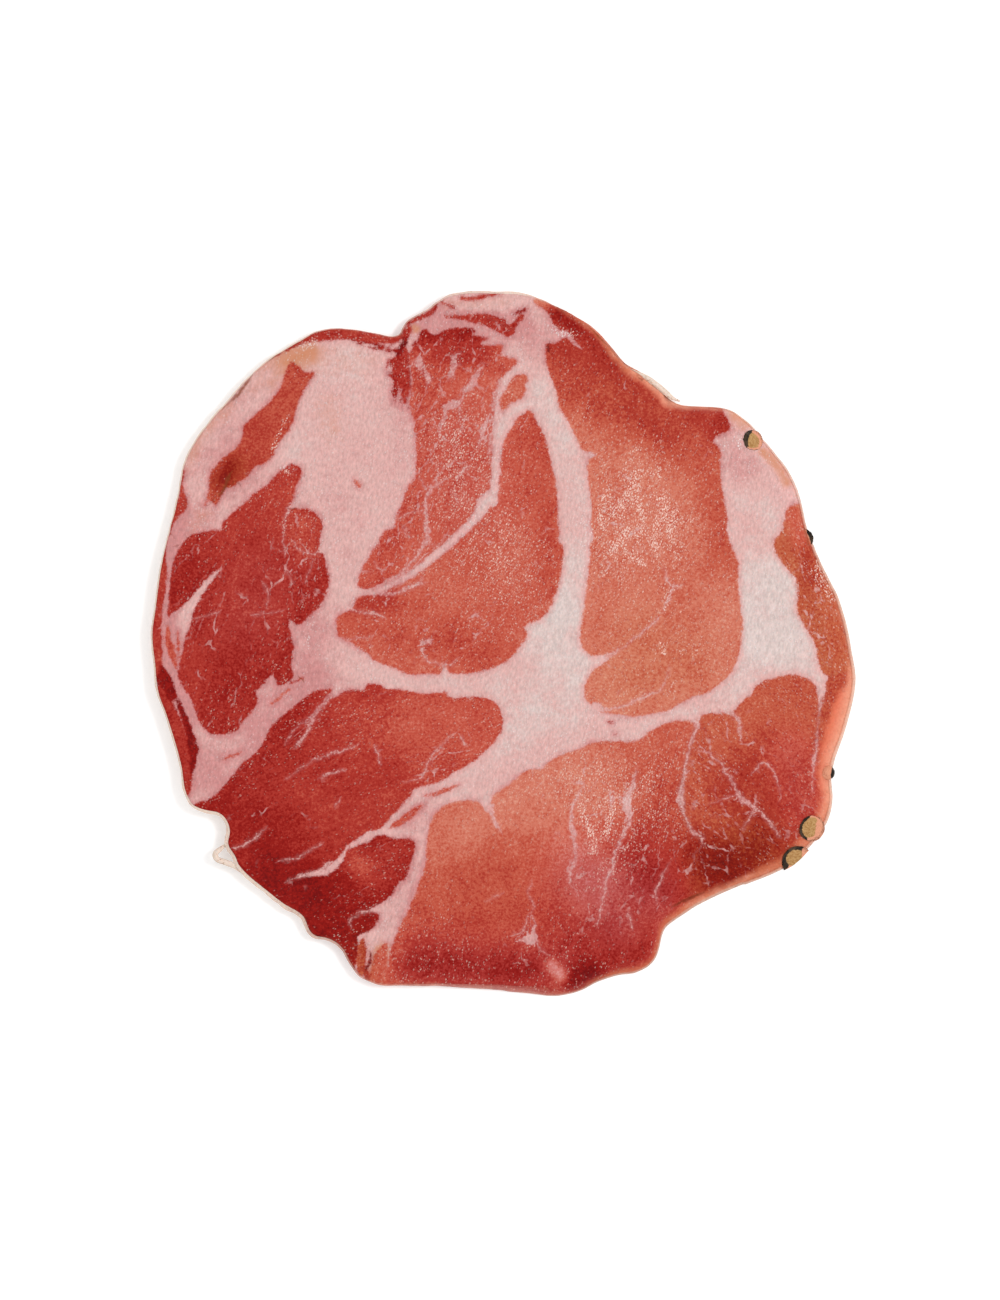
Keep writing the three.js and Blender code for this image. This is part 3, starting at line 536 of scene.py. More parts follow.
# Round the rim, by degrees: how wide the wall shows from above in millimetres, how much the skin
# there hides the meat, how orange it is, and how much thicker the casing is where it is loose.
LOOK_NAMES = ("band", "cover", "orange", "loose")
RIM_LOOKS = [
    (-180, 0.0, 0.1, 0.2, 0.8),
    (-158, 0.0, 0.1, 0.2, 0.9),
    (-150, 0.1, 0.1, 0.2, 1.6),
    (-128, 0.3, 0.2, 0.1, 2.1),
    (-112, 0.5, 0.3, 0.2, 1.0),
    (-104, 0.5, 0.4, 0.1, 0.3),
    (-85, 0.55, 0.4, 0.1, 0),
    (-77, 0.8, 0.5, 0.6, 0),
    (-70, 1.3, 0.75, 1.0, 0),
    (-62, 1.4, 0.7, 1.0, 0),
    (-55, 1.9, 0.75, 0.5, 0),
    (-48, 1.7, 0.8, 0.45, 0),
    (-40, 2.2, 0.75, 0.6, 0),
    (-32, 2.6, 0.8, 0.6, 0),
    (-26, 2.4, 0.85, 0.3, 0),
    (-20, 2.9, 0.9, 0.2, 0),
    (-14, 3.6, 0.95, 0.2, 0),
    (-9.5, 3.2, 0.9, 0.2, 0),
    (-6, 1.9, 0.85, 0.2, 0),
    (-2, 0.9, 0.6, 0.2, 0),
    (6, 1.1, 0.5, 0.2, 0),
    (14, 0.8, 0.4, 0.4, 0),
    (20, 0.7, 0.5, 0.6, 0),
    (25, 0.65, 0.5, 0.1, 0),
    (36, 0.7, 0.6, 0.2, 0),
    (44, 0.65, 0.7, 0.2, 0),
    (51, 0.7, 0.7, 0.3, 0),
    (57, 1.8, 0.85, 0.1, 0),
    (62, 1.6, 0.8, 0.4, 0),
    (70, 1.2, 0.7, 0.7, 0),
    (79, 0.6, 0.4, 0.5, 0.2),
    (88, 0.3, 0.2, 0.2, 0.9),
    (104, 0.4, 0.2, 0.2, 0.9),
    (116, 0.5, 0.2, 0.6, 0.2),
    (127, 0.2, 0.2, 0.8, 0.4),
    (140, 0.1, 0.2, 0.6, 0.6),
    (160, 0.0, 0.1, 0.2, 0.6),
    (180, 0.0, 0.1, 0.2, 0.8),
]

# Peppercorns in the rim, near those of the CAD source: place, radius, how far they stand out of the
# cut, the side that shows its shell in degrees, how thick the shell is there, from which share of the
# radius the skin covers the other side, and how high they stand at the foot of the wall.
PEPPERCORNS = [
    ((49.3, -29.4, 2.2), 2.1, 0.14, 172, 0.44, 0.05, 0.05),
    ((47.1, -34.8, 2.2), 2.6, 0.14, 140, 0.44, 0.05, 0.05),
    ((39.8, 32.6, 2.2), 1.7, 0.26, 165, 0.8, 0.4, 0.05),
    ((48.0, 16.9, 0.9), 1.6, -0.3, 19, 2.0, -0.8, 0.5),
    ((51.8, -20.5, 0.6), 1.2, 0.02, -4, 2.0, -0.75, 2.0),
]

# How far a peppercorn reaches past the rim at most, also where the skin covers all but an edge of it
# and its foot stands higher than so much, and how far it stays above the board
PAST_RIM = 0.04
PAST_RIM_COVERED = 0.2
COVERED_FROM = 0.1
ABOVE_BOARD = 0.04
# How softly it is pressed back there and at the cut
RIM_GIVE = 0.03
CUT_GIVE = 0.01

# Strips of casing that stand away from the rim, as in the CAD source: width, and the path.
CASING_STRIPS = {
    "casing_flap": (1.1, "20.4,43.9 21.8,43.2 23.3,42.3 24.7,41.3 26,40.2 27,39.4 28.2,38.9"),
    "casing_loop": (1.5, """
        -43.8,-31.6 -44.9,-32.4 -46,-33.4 -45.7,-34.3 -44.4,-34.8 -43,-35.4 -41.6,-36.6"""),
}

# What the lights and the sheen add to a painted colour as the camera sees it
LIGHT_GAIN = 1.22
SHEEN = 0.013

FLOOR_DROP = 1e-4  # of the floor below the slice, in metres


def seen(red, green, blue):
    """The base colour that looks like this sRGB colour under the studio light."""
    made = []
    for value in (red, green, blue):
        share = value / 255
        linear = share / 12.92 if share <= 0.04045 else ((share + 0.055) / 1.055) ** 2.4
        made.append(max(0.002, (linear - SHEEN) / LIGHT_GAIN))
    return tuple(made)


# Curves and distances


def points_of(text):
    """The points written as x,y or x,y,half width with spaces between them."""
    return [tuple(float(number) for number in point.split(",")) for point in text.split()]


def smooth_path(points, closed=False, steps=4):
    """A smooth curve through points of two or three columns."""
    p = np.array(points, float)
    if closed:
        p = np.vstack([p[-1:], p, p[:2]])
    else:
        p = np.vstack([2 * p[:1] - p[1:2], p, 2 * p[-1:] - p[-2:-1]])
    t = np.linspace(0, 1, steps, endpoint=False)[:, None]
    spans = []
    for a, b, c, d in zip(p[:-3], p[1:-2], p[2:-1], p[3:]):
        bend = (2 * a - 5 * b + 4 * c - d) * t**2 + (3 * b - a - 3 * c + d) * t**3
        spans.append(0.5 * (2 * b + (c - a) * t + bend))
    path = np.vstack(spans)
    return path if closed else np.vstack([path, p[-2:-1]])


def near_box(xy, path, reach):
    """Which points lie within reach of the path's bounding box."""
    low = path[:, :2].min(0) - reach
    high = path[:, :2].max(0) + reach
    return np.flatnonzero(np.all((xy > low) & (xy < high), axis=1))


def nearest_on(xy, start, end):
    """For each point the nearest segment: its number, the share along it, and the distance."""
    along = end - start
    length = np.maximum((along**2).sum(1), TINY)
    best = np.zeros(len(xy), int)
    share = np.zeros(len(xy))
    gap = np.zeros(len(xy))
    for first in range(0, len(xy), BLOCK):
        part = slice(first, first + BLOCK)
        away = xy[part, None, :] - start[None]
        t = np.clip((away * along).sum(2) / length, 0, 1)
        distance = np.hypot(*np.moveaxis(away - t[..., None] * along, 2, 0))
        nearest = distance.argmin(1)
        rows = np.arange(len(nearest))
        best[part] = nearest
        share[part] = t[rows, nearest]
        gap[part] = distance[rows, nearest]
    return best, share, gap


def inside(xy, path):
    """Which points a closed path goes round."""
    start_x, start_y = path.T
    end_x, end_y = np.roll(path, -1, 0).T
    rise = np.where(np.abs(end_y - start_y) < TINY, TINY, end_y - start_y)
    found = np.zeros(len(xy), bool)
    for first in range(0, len(xy), BLOCK):
        part = slice(first, first + BLOCK)
        x = xy[part, :1]
        y = xy[part, 1:2]
        spans = (start_y > y) != (end_y > y)
        crossing = start_x + (y - start_y) * (end_x - start_x) / rise
        found[part] = np.count_nonzero(spans & (x < crossing), axis=1) % 2 == 1
    return found


def depth_in_outline(xy, outline):
    """How deep each point lies inside a closed outline; negative outside it."""
    path = smooth_path(points_of(outline), closed=True)
    depth = np.full(len(xy), -FAR)
    close = near_box(xy, path, FAR)
    if len(close):
        gap = nearest_on(xy[close], path, np.roll(path, -1, 0))[2]
        depth[close] = np.where(inside(xy[close], path), gap, -np.minimum(gap, FAR))
    return depth


def stroke_points(half_width, points):
    """A smooth stroke; points without a half width of their own get the stroke's."""
    full = [(*p, half_width) if len(p) == 2 else p for p in points_of(points)]
    return smooth_path(full, steps=5)


def along_stroke(xy, stroke):
    """Numbers of the points near a stroke, and for each its distance, its side and the half width."""
    close = near_box(xy, stroke, FAR)
    if not len(close):
        return close, np.zeros(0), np.zeros(0), np.zeros(0)
    start = stroke[:-1, :2]
    end = stroke[1:, :2]
    best, share, gap = nearest_on(xy[close], start, end)
    along = (end - start)[best]
    away = xy[close] - start[best]
    side = np.sign(along[:, 0] * away[:, 1] - along[:, 1] * away[:, 0])
    half = stroke[best, 2] * (1 - share) + stroke[best + 1, 2] * share
    return close, gap, np.where(side == 0, 1, side) * gap, half


def blended(xy, base, places):
    """A quantity with places of its own value blended in."""
    value = base.copy()
    for target, reach, points in places:
        path = np.array(points_of(points))
        close = near_box(xy, path, 2.5 * reach)
        if not len(close):
            continue
        gap = nearest_on(xy[close], path[:-1], path[1:])[2]
        weight = np.exp(-((gap / reach) ** 2))
        value[close] += weight * (target - value[close])
    return value


# The marbling of the cut


class StrokeField:
    """The nearest of several strokes: the distance to it, the side it lies on and its half width."""

    def __init__(self, count):
        self.excess = np.full(count, FAR)
        self.far = np.full(count, FAR)
        self.side = np.full(count, FAR)
        self.half = np.zeros(count)
        self.tone = np.zeros(count)

    def add(self, xy, half_width, points, tone=0.0):
        close, gap, side, half = along_stroke(xy, stroke_points(half_width, points))
        if not len(close):
            return
        excess = gap - half
        nearer = excess < self.excess[close]
        chosen = close[nearer]
        self.excess[chosen] = excess[nearer]
        self.far[chosen] = gap[nearer]
        self.side[chosen] = side[nearer]
        self.half[chosen] = half[nearer]
        self.tone[chosen] = tone


def marbling(xy):
    """Every quantity that paints the meat, at points in millimetres."""
    count = len(xy)
    lean = np.full(count, -FAR)
    cure = np.full(count, BASE_CURE)
    warm, fibre, web = np.zeros((3, count))
    for depth_of_cure, brown, direction, marbled, outline in MUSCLES.values():
        depth = depth_in_outline(xy, outline)
        deeper = depth > lean
        lean = np.where(deeper, depth, lean)
        cure = np.where(deeper, depth_of_cure, cure)
        warm = np.where(deeper, brown, warm)
        fibre = np.where(deeper, math.radians(direction), fibre)
        web = np.where(deeper, marbled, web)
    cure = blended(xy, cure, CURE_PLACES)
    for strands in (LEAN_STRANDS, STAINS):
        for depth_of_cure, half_width, points in strands.values():
            close, gap, _, half = along_stroke(xy, stroke_points(half_width, points))
            deeper = half - gap > lean[close]
            chosen = close[deeper]
            lean[chosen] = (half - gap)[deeper]
            cure[chosen] = depth_of_cure
    veins = StrokeField(count)
    for half_width, points in VEINS.values():
        veins.add(xy, half_width, points)
    marks = StrokeField(count)
    hollow = np.zeros(count)
    for half_width, brown, depth, points in MARKS.values():
        marks.add(xy, half_width, points, brown)
        close, gap, _, half = along_stroke(xy, stroke_points(half_width, points))
        hollow[close] = np.maximum(hollow[close], depth * np.exp(-((gap / (half + 0.25)) ** 2)))
    glint = np.zeros(count)
    for half_width, points in GLINTS.values():
        close, gap, _, half = along_stroke(xy, stroke_points(half_width, points))
        glint[close] = np.maximum(glint[close], np.exp(-((gap / (half + 0.1)) ** 2)))
    return {
        "lean": lean,
        "cure": cure,
        "warm": blended(xy, warm, WARM_PLACES),
        "fibre": fibre,
        "web": blended(xy, web, WEB_PLACES),
        "flush": blended(xy, np.full(count, BASE_FLUSH), FLUSH_PLACES),
        "amber": blended(xy, np.zeros(count), AMBER_PLACES),
        "wet": blended(xy, np.full(count, BASE_WET), WET_PLACES),
        "glint": glint,
        "vein_side": veins.side,
        "vein_far": veins.far,
        "vein_half": veins.half,
        "mark_side": marks.side,
        "mark_far": marks.far,
        "mark_half": marks.half,
        "mark_brown": marks.tone,
        "hollow": hollow,
    }


# The slice's form


class Rim:
    """How far the slice reaches from its middle, read off the CAD solid seen from above."""

    RAYS = 1440
    STEP = 0.12
    INSIDE = 0.4  # the height of a ray that starts in the solid, in millimetres
    ABOVE = 20  # the height from which a ray looks down on it
    SPIKE = 5  # rays to either side that show a trifle to be one
    ROUNDING = 4  # rays to either side that round a facet off
    ROUNDING_WIDTH = 2.2

    def __init__(self, solid):
        mesh = solid.data
        self.tree = BVHTree.FromPolygons(
            [v.co for v in mesh.vertices], [p.vertices for p in mesh.polygons]
        )
        self.angles = np.arange(self.RAYS) * (2 * math.pi / self.RAYS) - math.pi
        self.reach = self.evened(np.array([self.stepped_out(angle) for angle in self.angles]))

    def stepped_out(self, angle):
        """Millimetres from the middle to where the slice first ends."""
        out = Vector((math.cos(angle), math.sin(angle), 0))
        down = Vector((0, 0, -1))
        reach = self.tree.ray_cast(Vector((0, 0, self.INSIDE * MM)), out)[3] / MM - 1
        while self.tree.ray_cast((reach * out - self.ABOVE * down) * MM, down)[0]:
            reach += self.STEP
        return reach - self.STEP / 2

    def evened(self, reach):
        """The reach without the spikes of fused trifles, and with the rays' facets rounded off."""
        spread = np.stack([np.roll(reach, k) for k in range(-self.SPIKE, self.SPIKE + 1)])
        level = np.median(spread, axis=0)
        shifts = np.arange(-self.ROUNDING, self.ROUNDING + 1)
        weights = np.exp(-((shifts / self.ROUNDING_WIDTH) ** 2))
        total = sum(w * np.roll(level, k) for k, w in zip(shifts, weights))
        return total / weights.sum()

    def look(self, angle, name):
        """A column of RIM_LOOKS at these angles."""
        looks = np.array(RIM_LOOKS, float).T
        return np.interp(np.degrees(angle), looks[0], looks[1 + LOOK_NAMES.index(name)])

    def at(self, angle):
        """The silhouette's reach and those of the upper and the lower outline, at these angles."""
        reach = np.interp(angle, self.angles, self.reach, period=2 * math.pi)
        slant = KNIFE_SLANT[0] * np.cos(angle) + KNIFE_SLANT[1] * np.sin(angle)
        return reach, reach - np.maximum(0, slant), reach + np.minimum(0, slant)


def underside(x, y):
    """The height of the underside, which rises towards the left rim."""
    towards = LIFT_TOWARDS[0] * x + LIFT_TOWARDS[1] * y
    return LEFT_LIFT * smoothstep(LIFT_BEGINS, LIFT_ENDS, towards)


def smoothstep(low, high, value):
    """From 0 at low to 1 at high, levelling out at both."""
    t = np.clip((value - low) / (high - low), 0, 1)
    return t * t * (3 - 2 * t)


def roughness_of(xy, size, seed):
    """Soft noise from -1 to 1 at points in millimetres."""
    return np.array([noise.noise(Vector((x / size, y / size, seed))) for x, y in xy])


def face_height(xy, meat, fat_height):
    """The height of the cut face: flat meat that lifts at the left, with the fat standing proud."""
    x, y = xy[:, 0], xy[:, 1]
    wave = WAVE_HEIGHT * (np.sin(x / 9 + 0.4 * np.sin(y / 11)) + np.sin(y / 13 - x / 31))
    fat = fat_height * (1 - smoothstep(-0.7, 0.6, meat["lean"]))
    veins = 0.25 * fat_height * np.exp(-((meat["vein_far"] / (meat["vein_half"] + 0.2)) ** 2))
    grain = 0.035 * roughness_of(xy, 1.1, 2.0) * (0.4 + meat["wet"])
    swell = 0.05 * roughness_of(xy, 6.0, 7.0)
    return underside(x, y) + THICKNESS + wave + fat + veins + grain + swell - meat["hollow"]


def disc_grid(cells):
    """A square grid wrapped onto a disc: each point's angle and share of the radius."""
    side = np.linspace(-1, 1, cells + 1)
    a, b = np.meshgrid(side, side, indexing="ij")
    wide = np.abs(a) > np.abs(b)
    share = np.where(wide, a, b)
    other = np.where(wide, b, a)
    ratio = np.divide(other, share, out=np.zeros_like(share), where=share != 0)
    angle = np.where(wide, ratio, 2 - ratio) * math.pi / 4 + np.where(share < 0, math.pi, 0)
    return angle.ravel(), np.abs(share).ravel()


def grid_rim(cells):
    """The numbers of a grid's outer points, anticlockwise."""
    number = np.arange((cells + 1) ** 2).reshape(cells + 1, cells + 1)
    return np.concatenate([number[:-1, 0], number[-1, :-1], number[:0:-1, -1], number[0, :0:-1]])


def grid_faces(cells, first, downwards):
    """The squares of a grid whose points are numbered from first."""
    i, j = np.meshgrid(np.arange(cells), np.arange(cells), indexing="ij")
    a = first + (i * (cells + 1) + j).ravel()
    faces = np.stack([a, a + cells + 1, a + cells + 2, a + 1], axis=1)
    return faces[:, ::-1] if downwards else faces


def polar(angle, radius):
    """Points at these angles and distances from the middle."""
    return np.stack([radius * np.cos(angle), radius * np.sin(angle)], axis=1)


def shade_and_paint(mesh, quantities):
    """Shades the mesh smooth and keeps each quantity's values at its points."""
    mesh.polygons.foreach_set("use_smooth", np.ones(len(mesh.polygons), bool))
    for name, values in quantities.items():
        attribute = mesh.attributes.new(name, "FLOAT", "POINT")
        attribute.data.foreach_set("value", values.astype(np.float32))


def slice_mesh(rim, fat_height, casing):
    """The closed skin of the slice, with room for the casing, and what its material paints."""
    angle, share = disc_grid(FACE_CELLS)
    _, upper, _ = rim.at(angle)
    room = casing * (1 + rim.look(angle, "loose"))
    face_xy = polar(angle, share * (upper - room - FACE_INSET))
    edge_angle = angle[grid_rim(FACE_CELLS)]
    _, edge_upper, edge_lower = rim.at(edge_angle)
    edge_room = casing * (1 + rim.look(edge_angle, "loose"))
    ring_xy = []
    for _, slant_share, out in WALL_STEPS:
        reach = edge_upper + slant_share * (edge_lower - edge_upper)
        ring_xy.append(polar(edge_angle, reach - edge_room + out))
    under_angle, under_share = disc_grid(UNDERSIDE_CELLS)
    _, _, under_lower = rim.at(under_angle)
    under_xy = polar(under_angle, under_share * (under_lower - UNDERSIDE_INSET))

    xy = np.vstack([face_xy, *ring_xy, under_xy])
    meat = marbling(xy)
    top = face_height(xy, meat, fat_height)
    low = underside(xy[:, 0], xy[:, 1])
    face_count = len(face_xy)
    ring_count = len(edge_angle)
    under_first = face_count + len(WALL_STEPS) * ring_count
    height = top.copy()
    wall = np.zeros(len(xy))
    for k, (down, _, _) in enumerate(WALL_STEPS):
        ring = slice(face_count + k * ring_count, face_count + (k + 1) * ring_count)
        height[ring] = top[ring] + down * (low[ring] - top[ring])
        wall[ring] = down
    height[under_first:] = low[under_first:]
    wall[under_first:] = 1

    all_angles = np.arctan2(xy[:, 1], xy[:, 0])
    meat["edge"] = rim.at(all_angles)[0] - np.hypot(xy[:, 0], xy[:, 1])
    for name in LOOK_NAMES:
        meat[name] = rim.look(all_angles, name)
    meat["wall"] = wall
    shown = smoothstep(0.2, 0.75, meat["band"])
    meat["thick"] = (1 + meat["loose"]) * (1 - shown * (1 - smoothstep(0.8, 1.0, wall)))
    for (x, y, _), radius, *_ in PEPPERCORNS:
        gap = np.hypot(xy[:, 0] - x, xy[:, 1] - y) / radius
        meat["thick"] *= smoothstep(0.85, 1.3, gap)

    faces = [grid_faces(FACE_CELLS, 0, False)]
    inner = grid_rim(FACE_CELLS)
    for k in range(len(WALL_STEPS)):
        outer = face_count + k * ring_count + np.arange(ring_count)
        faces.append(np.stack([inner, outer, np.roll(outer, -1), np.roll(inner, -1)], axis=1))
        inner = outer
    under_rim = under_first + grid_rim(UNDERSIDE_CELLS)
    even = inner[::2]
    odd = inner[1::2]
    corners = [
        np.stack([even, under_rim, odd], axis=1),
        np.stack([odd, under_rim, np.roll(under_rim, -1)], axis=1),
        np.stack([odd, np.roll(under_rim, -1), np.roll(even, -1)], axis=1),
    ]
    faces.append(grid_faces(UNDERSIDE_CELLS, under_first, True))
    mesh = bpy.data.meshes.new("cut_face")
    points = np.column_stack([xy, height]) * MM
    polygons = [f for block in faces + corners for f in block.tolist()]
    mesh.from_pydata(points.tolist(), [], polygons)
    shade_and_paint(mesh, meat)
    rind = np.zeros(len(mesh.polygons), bool)
    bare = rim.look(edge_angle, "band") > BARE_WALL_FROM
    for k in range(FIRST_CASING_STEP, len(WALL_STEPS) - 1):
        first = len(faces[0]) + k * ring_count
        rind[first : first + ring_count] = ~bare | (k >= FOOT_STEP)
    mesh.attributes.new("rind", "BOOLEAN", "FACE").data.foreach_set("value", rind)
    mesh.update()
    return mesh


def add_object(name, mesh):
    """A new object in the scene, at the origin."""
    piece = bpy.data.objects.new(name, mesh)
    bpy.context.scene.collection.objects.link(piece)
    return piece


# Node helpers


class Nodes:
    """Adds nodes to a tree. A value is a number, a colour or another node's output."""

    def __init__(self, tree):
        self.tree = tree

    def feed(self, socket, value):
        """Links the value to the socket, or sets it there."""
        if isinstance(value, bpy.types.NodeSocket):
            self.tree.links.new(value, socket)
        else:
            socket.default_value = value

    def add(self, kind, values=None, **settings):
        """A node with its settings, and its inputs fed by name."""
        node = self.tree.nodes.new(kind)
        for name, setting in settings.items():
            setattr(node, name, setting)
        for name, value in (values or {}).items():
            self.feed(node.inputs[name], value)
        return node

    def math(self, operation, *values, kind="ShaderNodeMath"):
        """The result of a math node, whose inputs are fed in their order."""
        node = self.add(kind, operation=operation)
        for socket, value in zip(node.inputs, values):
            self.feed(socket, value)
        return node.outputs[0]

    def plus(self, first, second):
        return self.math("ADD", first, second)

    def minus(self, first, second):
        return self.math("SUBTRACT", first, second)

    def times(self, first, second):
        return self.math("MULTIPLY", first, second)

    def times_plus(self, value, factor, more):
        return self.math("MULTIPLY_ADD", value, factor, more)

    def larger(self, first, second):
        return self.math("MAXIMUM", first, second)

    def smaller(self, first, second):
        return self.math("MINIMUM", first, second)

    def vector(self, operation, *values):
        return self.math(operation, *values, kind="ShaderNodeVectorMath")

    def scaled(self, vector, factor):
        node = self.add("ShaderNodeVectorMath", {"Scale": factor}, operation="SCALE")
        self.feed(node.inputs[0], vector)
        return node.outputs["Vector"]

    def rise(self, value, low, high, to_low=0.0, to_high=1.0):
        """A smooth step of the value from low to high."""
        sizes = {"Value": value, "From Min": low, "From Max": high, "To Min": to_low, "To Max": to_high}
        return self.add("ShaderNodeMapRange", sizes, interpolation_type="SMOOTHSTEP").outputs["Result"]

    def blend(self, share, first, second):
        """Between two numbers."""
        return self.times_plus(share, self.minus(second, first), first)

    def mix(self, share, first, second, blend_type="MIX"):
        """Between two colours."""
        node = self.add("ShaderNodeMix", data_type="RGBA", blend_type=blend_type)
        self.feed(node.inputs[0], share)
        self.feed(node.inputs[6], first)
        self.feed(node.inputs[7], second)
        return node.outputs[2]

    def grain(self, vector, scale, detail=2.0, roughness=0.5):
        """Noise about zero, most of it between -0.25 and 0.25."""
        node = self.add(
            "ShaderNodeTexNoise",
            {"Vector": vector, "Scale": scale, "Detail": detail, "Roughness": roughness},
        )
        return self.minus(node.outputs["Fac"], 0.5)

    def attribute(self, name):
        """What the mesh keeps at its points under this name."""
        return self.add("ShaderNodeAttribute", attribute_name=name).outputs["Fac"]

    def group(self, tree, **values):
        """The outputs of a node group; half_width feeds its input Half width."""
        node = self.add("ShaderNodeGroup")
        node.node_tree = tree
        for name, value in values.items():
            self.feed(node.inputs[name.replace("_", " ").capitalize()], value)
        return node.outputs


def colour(value):
    """The colour with full opacity."""
    return (*value, 1.0)


def new_group(name, inputs, outputs):
    """A shader node group with named sockets; an input is a float default, a colour or 'vector'."""
    tree = bpy.data.node_groups.new(name, "ShaderNodeTree")
    for label, default in inputs.items():
        kind = "NodeSocketFloat"
        if default == "vector":
            kind = "NodeSocketVector"
        elif isinstance(default, tuple):
            kind = "NodeSocketColor"
        socket = tree.interface.new_socket(label, in_out="INPUT", socket_type=kind)
        if default != "vector":
            socket.default_value = default
    for label, kind in outputs.items():
        tree.interface.new_socket(label, in_out="OUTPUT", socket_type=kind)
    nodes = Nodes(tree)
    return nodes, nodes.add("NodeGroupInput").outputs, nodes.add("NodeGroupOutput").inputs


def kept_group(name, build):
    """The node group of this name, built the first time it is asked for."""
    found = bpy.data.node_groups.get(name)
    return found or build(name)


def build_broken_edge(name):
    """Frays a distance to an edge in millimetres, and gives the share that lies inside it."""
    nodes, given, out = new_group(
        name,
        {"Distance": 0.0, "Place": "vector", "Fray": 0.35, "Softness": 0.14},
        {"Mask": "NodeSocketFloat", "Frayed": "NodeSocketFloat"},
    )
    wide = nodes.times(nodes.grain(given["Place"], 1.1, 3), 1.5)
    fine = nodes.grain(given["Place"], 4.2, 1)
    shift = nodes.times(nodes.plus(wide, fine), given["Fray"])
    frayed = nodes.plus(given["Distance"], shift)
    low = nodes.times(given["Softness"], -1.0)
    nodes.feed(out["Mask"], nodes.rise(frayed, low, given["Softness"]))
    nodes.feed(out["Frayed"], frayed)
    return nodes.tree


def build_fine_stroke(name):
    """A grainy stroke that swells, thins and breaks, with a haze round it."""
    sockets = {"Side": 0.0, "Far": 0.0, "Half width": 0.0, "Place": "vector", "Softness": 0.12,
               "Fray": 0.2, "Haze": 0.0, "Grain": 0.0, "Sway": 0.6}
    nodes, given, out = new_group(name, sockets, {"Mask": "NodeSocketFloat"})
    given_half = given["Half width"]
    swell = nodes.times_plus(nodes.grain(given["Place"], 0.8, 2), 1.5, 0.62)
    swell = nodes.plus(swell, nodes.times(given_half, 0.65))
    half = nodes.times(given_half, swell)
    frayed = nodes.times(nodes.grain(given["Place"], 3.6, 2), given["Fray"])
    crooked = nodes.times(nodes.grain(given["Place"], 0.75, 3, 0.6), given["Sway"])
    away = nodes.math("ABSOLUTE", nodes.plus(given["Side"], crooked))
    gap = nodes.plus(nodes.minus(away, half), nodes.times(frayed, 2.0))
    high = nodes.times(given["Softness"], -1.0)
    stroke = nodes.rise(gap, given["Softness"], high)
    close = nodes.rise(nodes.minus(given["Far"], given_half), 0.62, 0.36)
    broken = nodes.plus(nodes.grain(given["Place"], 0.55, 2), nodes.times(given_half, 1.1))
    stroke = nodes.times(stroke, nodes.rise(broken, -0.02, 0.26, 0.5, 1.0))
    dots = nodes.rise(nodes.grain(given["Place"], 2.6, 1), 0.14, -0.1, 0.0, 0.5)
    dots = nodes.times(dots, nodes.rise(given_half, 0.75, 0.3))
    dots = nodes.times_plus(nodes.times(dots, given["Grain"]), -1.0, 1.0)
    haze = nodes.rise(nodes.minus(away, given_half), 0.5, -0.25)
    haze = nodes.times(haze, given["Haze"])
    stroke = nodes.larger(nodes.times(stroke, dots), haze)
    nodes.feed(out["Mask"], nodes.times(stroke, close))
    return nodes.tree


def along_fibres(nodes, place, fibre, stretch):
    """Places turned so that the fibres run along X, and drawn together that way."""
    turned = nodes.add(
        "ShaderNodeVectorRotate",
        {"Vector": place, "Angle": nodes.times(fibre, -1.0)},
        rotation_type="Z_AXIS",
    ).outputs["Vector"]
    return nodes.vector("MULTIPLY", turned, (stretch, 1.0, 1.0))


def build_fine_web(name):
    """A web of hair-thin fat and small flecks between the fibres."""
    nodes, given, out = new_group(
        name, {"Place": "vector", "Fibre": 0.0, "Amount": 0.5}, {"Mask": "NodeSocketFloat"}
    )
    drawn = along_fibres(nodes, given["Place"], given["Fibre"], 0.55)
    sway = nodes.add("ShaderNodeTexNoise", {"Vector": given["Place"], "Scale": 0.55, "Detail": 3.0})
    swayed = nodes.vector("MULTIPLY_ADD", sway.outputs["Color"], (1.5, 1.5, 0.0), drawn)
    cells = nodes.add(
        "ShaderNodeTexVoronoi", {"Vector": swayed, "Scale": 0.36},
        feature="DISTANCE_TO_EDGE", voronoi_dimensions="2D",
    ).outputs["Distance"]
    width = nodes.times_plus(nodes.grain(given["Place"], 0.9, 2), 0.26, 0.03)
    line = nodes.rise(nodes.minus(cells, width), 0.022, -0.012)
    line = nodes.times(line, nodes.rise(nodes.grain(given["Place"], 0.8, 2), -0.12, 0.12))
    patch = nodes.plus(nodes.grain(drawn, 0.33, 2), nodes.times(given["Amount"], 0.42))
    line = nodes.times(line, nodes.rise(patch, 0.14, 0.36))
    flecks = nodes.plus(nodes.grain(drawn, 1.15, 2), nodes.times(given["Amount"], 0.1))
    flecks = nodes.rise(flecks, 0.2, 0.32)
    flecks = nodes.times(flecks, nodes.rise(patch, 0.02, 0.3))
    nodes.feed(out["Mask"], nodes.larger(line, nodes.times(flecks, 0.8)))
    return nodes.tree


